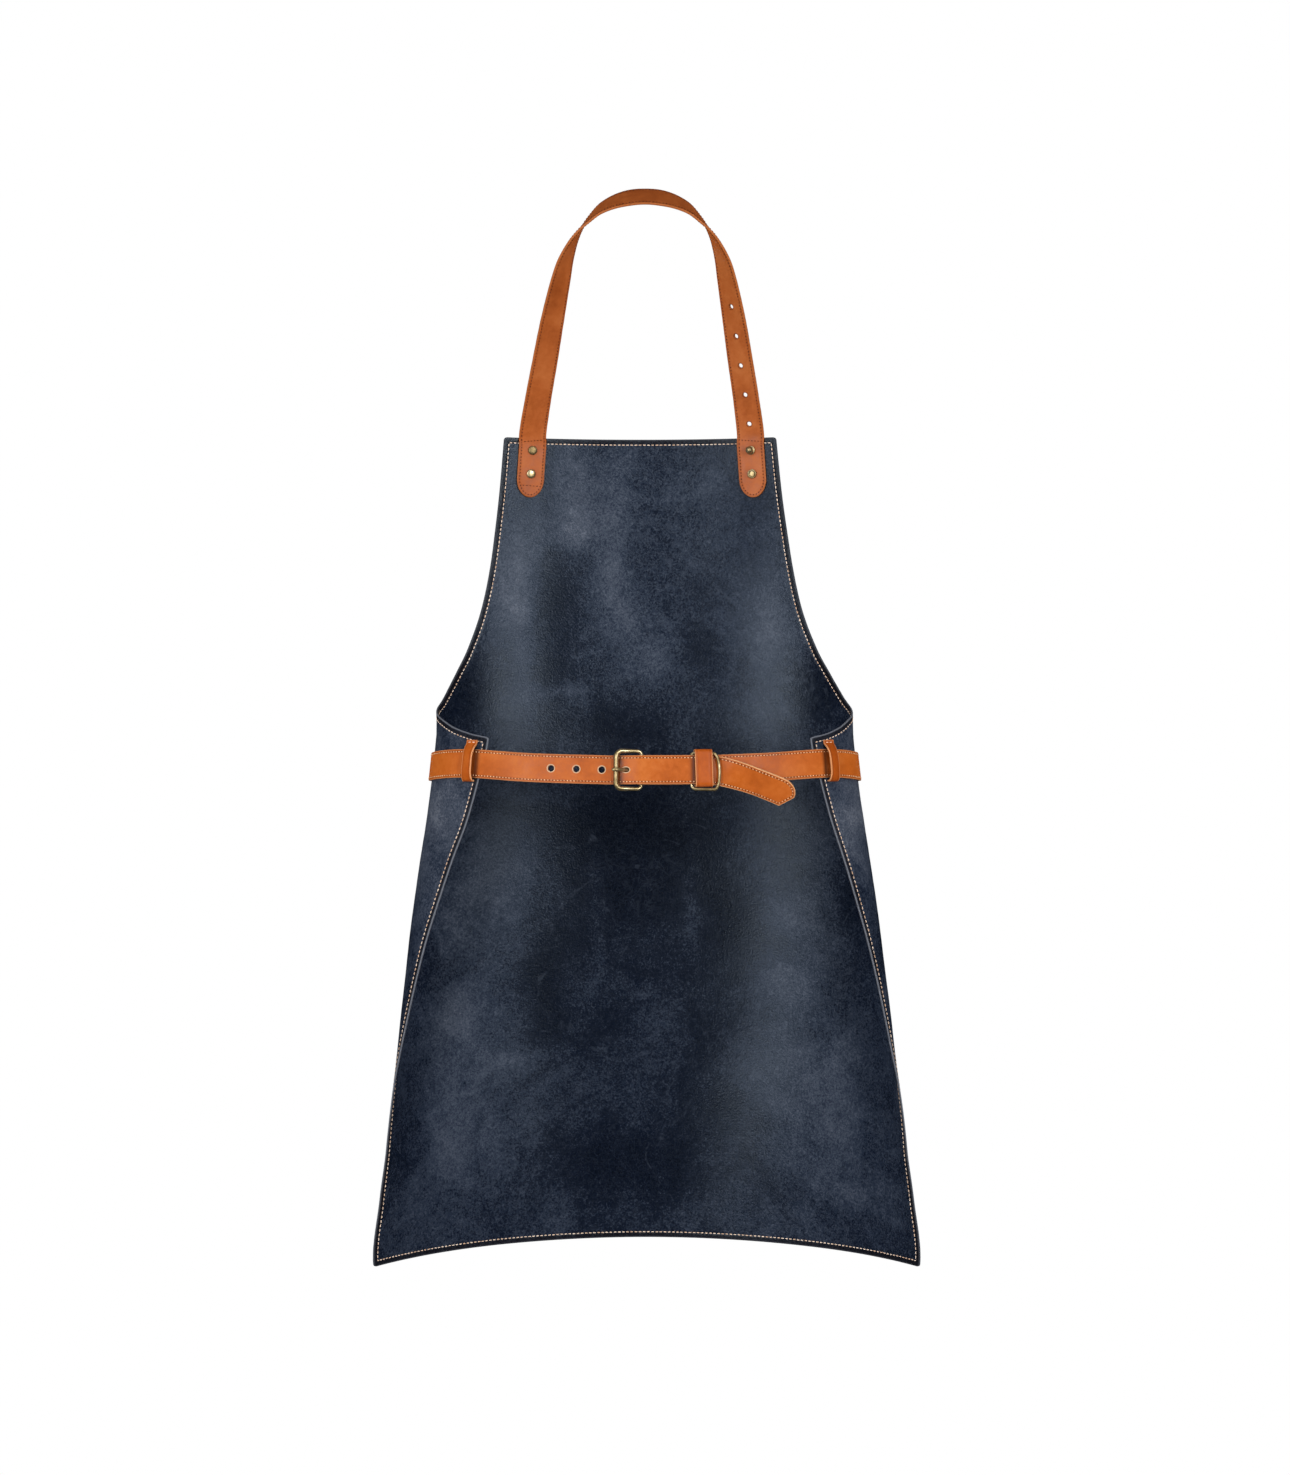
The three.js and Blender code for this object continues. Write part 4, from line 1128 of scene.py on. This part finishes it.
def strip_stitches(strip, lines, pitch, length, thread_radius, sides=(1, -1)):
    """Stitches along flat lines of a strip, on one or both of its faces."""
    parts = []
    for line, is_closed in lines:
        spots = stitch_spots(line, pitch, length, is_closed)
        for side in sides:
            height = np.full(spots.shape[:2], side * (strip.thick / 2 - STRIP_CREASE_DEPTH))
            centres, out = strip.place(spots[..., 0], spots[..., 1], height)
            parts.append(stitch_mesh(centres, side * out, thread_radius))
    return join_meshes(parts)


# Neck strap
def tab_frame(side, drop):
    """Where a strap tab's middle line runs over the panel: the place, the way round and the way inwards."""
    x = STRAP_SWAY + side * column(TAB_ROWS, 1)(drop)
    turn = np.degrees(np.arcsin((x - sway(drop)) / half_width(drop)))
    at, around, _, out = body_frame(turn, drop)
    return at, around, -out


def strap_rows(side):
    """Places of the strap's middle and the ways across it, from a tab up to the back of the neck."""
    places, ways = [], []
    for drop, _ in TAB_ROWS:
        at, around, inward = tab_frame(side, drop)
        places.append(at + inward * (TAB_BACK + TAB_FRONT) / 2)
        ways.append(around * side)
    free = [np.array([side * x + STRAP_SWAY * drop / PANEL_TOP, y, -drop]) for x, y, drop, _ in STRAP_ROUTE]
    mirrored = free[-2] * np.array([-1, 1, 1])
    chain = [places[-1], *free, mirrored]
    for i, (*_, roll) in enumerate(STRAP_ROUTE):
        along = unit(chain[i + 2] - chain[i]) * -side
        outward = unit(np.cross(along, (0, 1, 0)))
        back = np.cross(along, outward)
        angle = math.radians(roll)
        ways.append(outward * math.cos(angle) + back * math.sin(angle))
    return places + free, ways


STRAP_SAMPLES = 2400


def strap_strip():
    left_places, left_ways = strap_rows(-1)
    right_places, right_ways = strap_rows(1)
    route = catmull_rom(left_places + right_places[-2::-1], STRAP_SAMPLES)
    ways = catmull_rom(left_ways + right_ways[-2::-1], STRAP_SAMPLES)
    return Strip(route, ways, STRAP_WIDTH, STRAP_THICK, (STRAP_END_LENGTH, STRAP_END_LENGTH))


# Rows of stitches across the strap's tabs: side and drop
TAB_ROWS_ACROSS = [(-1, 225), (-1, 270.5), (1, 225)]


def tab_row(strip, side, drop):
    """A flat line across a tab of the strap at a drop."""
    half = len(strip.at) // 2
    rows = slice(None, half) if side < 0 else slice(None, half, -1)
    along = np.interp(-drop, strip.table[rows, 2], strip.at[rows])
    reach = strip.halves(along)[0] - STRIP_CREASE_INSET - EDGE_PITCH / 2
    return np.array([(along, -reach), (along, reach)])


def neck_strap():
    strip = strap_strip()
    places = [strip.length - STRAP_HOLE_FIRST - k * STRAP_HOLE_PITCH for k in range(STRAP_HOLES)]
    made = strip_object(strip, "strap", STRAP_LEATHER, [round_hole(at, STRAP_HOLE_RADIUS) for at in places])
    add_piece(made, "strap_leather", "neck_strap")
    border = inset_line(strip.outline(), STRIP_CREASE_INSET)
    lines = [(resample(border, STITCH_LINE_STEP, True), True)]
    lines += [(tab_row(strip, side, drop), False) for side, drop in TAB_ROWS_ACROSS]
    mesh = strip_stitches(strip, lines, EDGE_PITCH, EDGE_STITCH, EDGE_THREAD)
    add_piece(make_object("strap_stitches", *mesh, STRAP_THREAD), "strap_leather")


# Turned brass
def lathe(name, profile, at, axis, node):
    """A piece turned round an axis, from a profile of radii and heights that starts and ends on the axis."""
    profile = np.array(profile, float)
    axis = unit(np.array(axis))
    side = unit(np.cross(axis, (0, 0, 1)))
    rim = circle(side, np.cross(axis, side), LATHE_SIDES)
    rings = profile[1:-1]
    points = at + rings[:, 1, None, None] * axis + rings[:, 0, None, None] * rim
    ends = [at + profile[0, 1] * axis, at + profile[-1, 1] * axis]
    count = len(rings) * LATHE_SIDES
    first = np.arange(LATHE_SIDES)
    last = first + count - LATHE_SIDES
    faces = tube_faces(len(rings), LATHE_SIDES).tolist()
    faces += [[count, b, a] for a, b in zip(first, np.roll(first, -1))]
    faces += [[count + 1, a, b] for a, b in zip(last, np.roll(last, -1))]
    made = make_object(name, np.vstack([points.reshape(-1, 3), ends]), faces, BRASS, sharp_angle=40)
    return add_piece(made, "antique_brass", node)


# Back of a rivet as radii and shares of its height, and the bevels of its back and head
RIVET_BACK = [(0, 1), (2.4, 1), (3.1, 0.85), (3.5, 0.5)]
RIVET_BACK_BEVEL = 0.1
RIVET_BEVEL = 0.15
RIVET_SEAT = TAB_FRONT + GAP

# Heads as shares of the head's radius and height: a low dome and a disc with a raised rim
DOME_HEAD = [(1, 0.35), (0.96, 0.52), (0.87, 0.7), (0.72, 0.85), (0.5, 0.95), (0.25, 0.99), (0, 1)]
RIM_HEAD = [(1, 0.7), (0.95, 0.9), (0.87, 1), (0.78, 0.95), (0.7, 0.72), (0.64, 0.6), (0.3, 0.62), (0, 0.64)]

# Foot and neck of the stud as radii and heights over its seat, and the angles of the ball's rings
STUD_FOOT = [
    (RIVET_HEAD_RADIUS, 0.7),
    (RIVET_HEAD_RADIUS - 0.2, 0.9),
    (2.6, 1.1),
    (STUD_NECK_RADIUS, 1.5),
    (STUD_NECK_RADIUS, STUD_NECK_TOP),
]
STUD_BALL_ANGLES = (-50, -38, -24, -10, 5, 20, 35, 50, 64, 78)


def shank_profile():
    back = -PANEL_THICK / 2 - GAP
    return [(radius, back - RIVET_BACK_HEIGHT * share) for radius, share in RIVET_BACK] + [
        (RIVET_BACK_RADIUS, back - RIVET_BEVEL),
        (RIVET_BACK_RADIUS - RIVET_BACK_BEVEL, back),
        (RIVET_SHANK, back),
        (RIVET_SHANK, RIVET_SEAT),
        (RIVET_HEAD_RADIUS - RIVET_BEVEL, RIVET_SEAT),
        (RIVET_HEAD_RADIUS, RIVET_SEAT + RIVET_BEVEL),
    ]


def rivet_profile(head):
    return shank_profile() + [(r * RIVET_HEAD_RADIUS, RIVET_SEAT + h * RIVET_HEAD_HEIGHT) for r, h in head]


def stud_profile():
    middle = RIVET_SEAT + STUD_NECK_TOP + math.sqrt(STUD_BALL_RADIUS**2 - STUD_NECK_RADIUS**2)
    foot = [(radius, RIVET_SEAT + height) for radius, height in STUD_FOOT]
    angles = np.radians(STUD_BALL_ANGLES)
    ball = [(STUD_BALL_RADIUS * math.cos(a), middle + STUD_BALL_RADIUS * math.sin(a)) for a in angles]
    return shank_profile() + foot + ball + [(0, middle + STUD_BALL_RADIUS)]


def rivets():
    dome, rim = rivet_profile(DOME_HEAD), rivet_profile(RIM_HEAD)
    places = [
        ("rivet_left_upper", -1, RIVET_UPPER_DROP, dome),
        ("rivet_left_lower", -1, RIVET_LOWER_DROP, dome),
        ("stud_right_upper", 1, RIVET_UPPER_DROP, stud_profile()),
        ("rivet_right_lower", 1, RIVET_LOWER_DROP, rim),
    ]
    for name, side, drop, profile in places:
        at, _, inward = tab_frame(side, drop)
        lathe(name, profile, at, inward, f"strap_{name}")


# Waist belt
belt_lift, belt_drop, belt_roll = (column(BELT_ROUTE, i) for i in range(1, 4))


def belt_spot(turn, lift):
    """A place over the belt's route, lifted outwards, and the ways round, up and out there."""
    at, around, up, out = body_frame(turn, belt_drop(turn))
    return at + out * (BELT_SEAT + np.asarray(lift, float))[..., None], around, up, out


HEEL_AT, HEEL_ROUND, HEEL_UP, HEEL_OUT = belt_spot(*HEEL[:2])
TOE_AT, _, TOE_UP, _ = belt_spot(*TOE[:2])
FOLD_RADIUS = HEEL[2] + GAP + BELT_THICK / 2
FOLD_LAST_SHARE = 0.98
FOLD_SAMPLES = 40
BEND_SAMPLES = 36
BELT_TURN_STEP = 0.1
BELT_SEAM_START = 3


def belt_path():
    """Places along the belt's middle and the ways across it, from the folded end to the tip."""
    share = np.linspace(0, FOLD_LAST_SHARE, FOLD_SAMPLES)
    under = HEEL[1] - FOLD_RADIUS
    turn = lerp(FOLD_BACK[0], HEEL[0], share)
    layer, _, layer_up, _ = belt_spot(turn, lerp(FOLD_BACK[1], under, share**FOLD_SHARPNESS))
    angle = np.linspace(0, math.pi, BEND_SAMPLES)[:-1, None]
    bend = HEEL_AT - HEEL_OUT * FOLD_RADIUS * np.cos(angle) + HEEL_ROUND * FOLD_RADIUS * np.sin(angle)
    turns = np.arange(HEEL[0], BELT_ROUTE[-1][0], -BELT_TURN_STEP)
    run, _, up, out = belt_spot(turns, belt_lift(turns))
    roll = np.radians(belt_roll(turns))[:, None]
    ways = np.vstack([layer_up, np.tile(HEEL_UP, (len(bend), 1)), up * np.cos(roll) + out * np.sin(roll)])
    return np.vstack([layer, bend, run]), ways, len(layer) + len(bend), turns


def waist_belt():
    points, ways, run_start, turns = belt_path()
    strip = Strip(points, ways, BELT_WIDTH, BELT_THICK, (0, BELT_TIP_LENGTH), BELT_TIP_CUT)

    def at_turn(turn):
        return float(np.interp(-turn, -turns, strip.at[run_start:]))

    strip.pale_from = at_turn(KEEPER_TURN)
    # Painted shadows on the belt beside the loops, the buckle's toe bar and the keeper
    strip.painted_shadows = [
        at_turn(LOOP_TURNS["left"]) + LOOP_PAINTED_SHADOW,
        at_turn(LOOP_TURNS["right"]) - LOOP_PAINTED_SHADOW,
        at_turn(TOE[0]) + TOE_PAINTED_SHADOW,
        at_turn(KEEPER_TURN) - KEEPER_PAINTED_SHADOW,
    ]
    bend_middle = (strip.at[FOLD_SAMPLES] + strip.at[run_start]) / 2
    slot_reach = PRONG_SLOT_REACH + FOLD_RADIUS * math.pi / 2
    slot = {
        "at": bend_middle,
        "reach": slot_reach,
        "radius": PRONG_SLOT_WIDTH / 2,
        "block": slot_reach + SLOT_MARGIN,
        "span": SLOT_SPAN,
        "squareness": SLOT_SQUARENESS,
    }
    holes = [slot] + [round_hole(at_turn(turn), BELT_HOLE_RADIUS) for turn in BELT_HOLE_TURNS]
    used = round_hole(at_turn(BELT_USED_HOLE_TURN), BELT_USED_HOLE_RADIUS)
    holes.append(used | {"radius": BELT_USED_HOLE_HALF_WIDTH})
    made = strip_object(strip, "belt", BELT_LEATHER, holes)
    add_piece(made, "belt_leather", "waist_belt")
    border = inset_line(strip.outline(), STRIP_CREASE_INSET)
    border = border[border[:, 0] > strip.at[run_start] + BELT_SEAM_START]
    turn_back = int(np.argmax(np.abs(np.diff(border[:, 0]))))
    border = np.roll(border, -turn_back - 1, axis=0)
    line = resample(border, STITCH_LINE_STEP, False)
    mesh = strip_stitches(strip, [(line, False)], EDGE_PITCH, EDGE_STITCH, EDGE_THREAD)
    add_piece(make_object("belt_stitches", *mesh, BELT_THREAD), "belt_leather")


# Bent wire
WIRE_SIDES = 20
WIRE_STEP = 1
CORNER_POINTS = 10
BULGE_POINTS = 24


def ring_wire(points, side, radii):
    """Points and faces of a closed round wire."""
    along = unit(np.roll(points, -1, axis=0) - np.roll(points, 1, axis=0))
    across = unit(side - along * np.sum(side * along, axis=1, keepdims=True))
    rim = circle(across, np.cross(along, across), WIRE_SIDES)
    made = points[:, None] + rim * np.asarray(radii)[:, None, None]
    return made.reshape(-1, 3), tube_faces(len(points), WIRE_SIDES, True).tolist()


def corner(x, y, radius, start):
    """Points of a quarter circle round a middle, from a start angle."""
    angle = np.radians(np.linspace(start, start + 90, CORNER_POINTS))
    return np.stack([x + radius * np.cos(angle), y + radius * np.sin(angle)], axis=1)


def rounded_outline(width, height, left, right):
    """Points of a rounded rectangle, its corners as radii on the left and right."""
    x, y = width / 2, height / 2
    corners = [
        corner(x - right, y - right, right, 0),
        corner(left - x, y - left, left, 90),
        corner(left - x, left - y, left, 180),
        corner(x - right, right - y, right, 270),
    ]
    return np.vstack(corners)


def bulged_outline(width, height, radius, bulge):
    """Points of a ring with a straight left bar and a right side that bulges out past its width."""
    x, y = width / 2, height / 2
    # The bow is a cubic curve, which reaches three quarters of the way to its hooks
    reach = x + bulge * 4 / 3
    t = np.linspace(0, 1, BULGE_POINTS)[:, None]
    hooks = [np.array(p) for p in ((x, -y), (reach, -y), (reach, y), (x, y))]
    shares = [(1 - t) ** 3, 3 * t * (1 - t) ** 2, 3 * t**2 * (1 - t), t**3]
    bow = sum(hook * share for hook, share in zip(hooks, shares))
    corners = [corner(radius - x, y - radius, radius, 90), corner(radius - x, radius - y, radius, 180)]
    return np.vstack([*corners, bow])


def bar_ring(name, left_at, right_at, up, rise, outline, radii, node):
    """A closed wire ring along an outline that stands upright between a left and a right bar."""
    width = np.linalg.norm(right_at - left_at)
    middle = (left_at + right_at) / 2 + up * rise
    sideways = (right_at - left_at) / width
    flat = resample(outline, WIRE_STEP, True)
    points = middle + flat[:, :1] * sideways + flat[:, 1:] * up
    radius = lerp(radii[0], radii[1], np.clip(flat[:, 0] / width + 0.5, 0, 1))
    mesh = ring_wire(points, np.cross(sideways, up), radius)
    made = make_object(name, *mesh, BRASS)
    return add_piece(made, "antique_brass", node)


def buckle():
    length = np.linalg.norm(TOE_AT - HEEL_AT)
    outline = rounded_outline(length, 2 * FRAME_HALF_HEIGHT, TOE_CORNER, HEEL_CORNER)
    bar_ring("buckle", TOE_AT, HEEL_AT, TOE_UP, 0, outline, (TOE[2], HEEL[2]), "buckle_frame")


# Prong: its loop round the heel bar begins almost a turn before the place where the pin is clear of the bar;
# the shares of its length over which it thickens and slims; how slim its first and last rings are
PRONG_SAMPLES = 60
PRONG_SIDES = 16
PRONG_STEP = 0.5
PRONG_LOOP = (325, 12)
PRONG_LOOP_SAMPLES = 40
PRONG_CLEAR = 0.1
PRONG_SMOOTHING = 3
PRONG_THICKEN = (0.45, 0.7)
PRONG_SLIM = 0.25
PRONG_SLIM_FROM = 0.8
PRONG_FIRST = 0.8
PRONG_LAST = (0.6, 0.35)


def prong_path():
    """Places along the prong's middle, from its loop round the heel bar to its tip."""
    turns, lifts = np.array(PRONG_ROUTE, float).T
    pin = catmull_rom(belt_spot(turns, lifts)[0], PRONG_SAMPLES)
    radius = HEEL[2] + GAP + PRONG_RING / 2
    offset = pin - HEEL_AT
    away = np.hypot(offset @ HEEL_ROUND, offset @ HEEL_OUT)
    leave = int(np.argmax(away > radius + PRONG_CLEAR))
    start = math.atan2(offset[leave] @ HEEL_OUT, offset[leave] @ HEEL_ROUND)
    angle = start + np.radians(np.linspace(*PRONG_LOOP, PRONG_LOOP_SAMPLES))[:, None]
    loop = HEEL_AT + radius * (HEEL_ROUND * np.cos(angle) + HEEL_OUT * np.sin(angle))
    path = resample(np.vstack([loop, pin[leave:]]), PRONG_STEP, False)
    for _ in range(PRONG_SMOOTHING):
        path[1:-1] = (path[:-2] + 2 * path[1:-1] + path[2:]) / 4
    return path


def prong():
    """An oval rod bent round the heel bar, its free end resting on the toe bar."""
    path = prong_path()
    along = unit(np.gradient(path, axis=0))
    side = np.tile(HEEL_UP, (len(path), 1))
    share = np.linspace(0, 1, len(path))
    slim = 1 - PRONG_SLIM * smooth_step(share, PRONG_SLIM_FROM, 1)
    slim[0] = PRONG_FIRST
    slim[-2:] = PRONG_LAST
    wide = PRONG_WIDTH / 2 * slim
    thick = lerp(PRONG_RING, PRONG_THICK, smooth_step(share, *PRONG_THICKEN)) / 2 * slim
    rim = circle(side * wide[:, None], np.cross(along, side) * thick[:, None], PRONG_SIDES)
    points = path[:, None] + rim
    first = np.arange(PRONG_SIDES)
    last = first + (len(path) - 1) * PRONG_SIDES
    faces = tube_faces(len(path), PRONG_SIDES).tolist() + [first[::-1].tolist(), last.tolist()]
    add_piece(make_object("prong", points, faces, BRASS), "antique_brass", "buckle_prong")


KEEPER_STEP = 0.4


def keeper():
    at, around, up, out = belt_spot(KEEPER_TURN, 0)
    back, ahead = KEEPER_LIFTS
    bottom, top = KEEPER_RISES
    depth = ahead - back + KEEPER_THICK
    height = top - bottom + KEEPER_THICK
    outline = resample(rounded_outline(depth, height, KEEPER_CORNER, KEEPER_CORNER), KEEPER_STEP, True)
    points = at + (outline[:, :1] + (ahead + back) / 2) * out + (outline[:, 1:] + (top + bottom) / 2) * up
    strip = Strip(points, np.tile(around, (len(points), 1)), KEEPER_WIDTH, KEEPER_THICK, is_ring=True)
    made = strip_object(strip, "keeper", LOOP_LEATHER)
    add_piece(made, "belt_leather", "belt_keeper")


def keeper_ring():
    left_at, _, up, _ = belt_spot(*RING_LEFT)
    right_at = belt_spot(*RING_RIGHT)[0]
    bottom, top = RING_RISES
    outline = bulged_outline(np.linalg.norm(right_at - left_at), top - bottom, RING_CORNER, RING_BULGE)
    radii = (RING_RADIUS, RING_RADIUS)
    bar_ring("ring", left_at, right_at, up, (top + bottom) / 2, outline, radii, "keeper_ring")


# Belt loops: their tilt in degrees where they stand highest, and the row of stitches at their upper ends
LOOP_SAMPLES = 160
LOOP_TILT = 14
LOOP_TACK_INSET = 2.4
LOOP_TACK_REACH = 4.4


def belt_loops():
    drops, lifts = np.array(LOOP_ROUTE, float).T
    tacks = []
    for side, turn in LOOP_TURNS.items():
        at, around, _, out = body_frame(turn, drops)
        route = catmull_rom(at + out * (LOOP_SEAT + lifts)[:, None], LOOP_SAMPLES)
        tilt = np.radians(LOOP_TILT * np.sign(turn) * lifts / lifts.max())[:, None]
        ways = catmull_rom(around[:1] * np.cos(tilt) + out * np.sin(tilt), LOOP_SAMPLES)
        strip = Strip(route, ways, LOOP_WIDTH, LOOP_THICK)
        made = strip_object(strip, f"loop_{side}", LOOP_LEATHER)
        add_piece(made, "belt_leather", f"belt_loop_{side}")
        tack = np.array([(LOOP_TACK_INSET, -LOOP_TACK_REACH), (LOOP_TACK_INSET, LOOP_TACK_REACH)])
        tacks.append(strip_stitches(strip, [(tack, False)], SEAM_PITCH, SEAM_STITCH, SEAM_THREAD, (-1,)))
    add_piece(make_object("loop_stitches", *join_meshes(tacks), SEAM_MATERIAL), "belt_leather")


# Scene
FLOOR_DROP = 1.5
FLOOR_RADIUS = 0.6
FLOOR_SIDES = 96
FLOOR_GLOW = 0.35

# Span of heights over which the sky brightens, and its strength below and above
SKY_FADE = (-0.1, 0.9, 0.09, 0.26)

# Soft lights: name, place, size, power and whether they are mirrored in the surfaces
LIGHT_TARGET = (0, 0.05, -0.55)
LIGHTS = [
    ("front_left", (-1.05, -1.95, -0.34), (0.4, 1.6), 24, True),
    ("front_right", (1.05, -1.95, -0.05), (0.4, 1.2), 22, True),
    ("side_left", (-2, -1, -0.5), (0.8, 1.6), 20, False),
    ("side_right", (2, -1, -0.5), (0.8, 1.6), 22, False),
    ("key", (0, -1.9, 1.1), (1.6, 0.9), 8, True),
    ("back_left", (-1.5, 1.9, 0.3), (1.2, 1.6), 44, False),
    ("back_right", (1.5, 1.9, 0.3), (1.2, 1.6), 40, False),
]


def softbox(name, place, size, power, is_reflected):
    data = bpy.data.lights.new(name, "AREA")
    data.shape = "RECTANGLE"
    data.size, data.size_y = size
    data.energy = power
    made = bpy.data.objects.new(name, data)
    made.location = place
    made.rotation_euler = (Vector(LIGHT_TARGET) - Vector(place)).to_track_quat("-Z", "Y").to_euler()
    made.visible_glossy = is_reflected
    bpy.context.scene.collection.objects.link(made)


def studio():
    """Lights and a sky that is brighter above. The camera sees white in its place."""
    bpy.context.scene.view_settings.view_transform = "Standard"
    world = bpy.data.worlds.new("studio")
    bpy.context.scene.world = world
    world.use_nodes = True
    w = Nodes(world.node_tree)
    place = w.add("ShaderNodeTexCoord", {}).outputs["Generated"]
    height = w.add("ShaderNodeSeparateXYZ", {0: place}).outputs["Z"]
    sky = w.tree.nodes["Background"]
    w.put(sky.inputs["Strength"], w.span(height, *SKY_FADE))
    white = w.add("ShaderNodeBackground", {"Color": (1, 1, 1, 1)})
    is_seen = w.add("ShaderNodeLightPath", {}).outputs["Is Camera Ray"]
    mix = w.add("ShaderNodeMixShader", {0: is_seen, 1: sky.outputs[0], 2: white.outputs[0]})
    w.put(w.tree.nodes["World Output"].inputs["Surface"], mix.outputs[0])
    for light in LIGHTS:
        softbox(*light)


def floor():
    s = Shader("floor")
    s.set(Base_Color=(0.9, 0.9, 0.9, 1), Roughness=0.8)
    s.set(Emission_Color=(1, 1, 1, 1), Emission_Strength=FLOOR_GLOW)
    across, ahead, up = np.eye(3)
    rim = circle(across * FLOOR_RADIUS, ahead * FLOOR_RADIUS, FLOOR_SIDES) - up * FLOOR_DROP
    made = make_object("floor", rim / MM, [list(range(FLOOR_SIDES))], s.material)
    made.visible_glossy = False


def camera():
    data = bpy.data.cameras.new("camera")
    data.sensor_width = SENSOR_WIDTH
    data.lens = SENSOR_WIDTH * FOCAL_PIXELS / IMAGE_HEIGHT
    made = bpy.data.objects.new("camera", data)
    made.location = CAMERA_AT
    made.rotation_euler = (math.pi / 2, 0, 0)
    bpy.context.scene.collection.objects.link(made)
    bpy.context.scene.camera = made


camera()
panel = leather_panel()
stitches = panel_stitches()
neck_strap()
rivets()
waist_belt()
buckle()
prong()
keeper()
keeper_ring()
belt_loops()
studio()
floor()
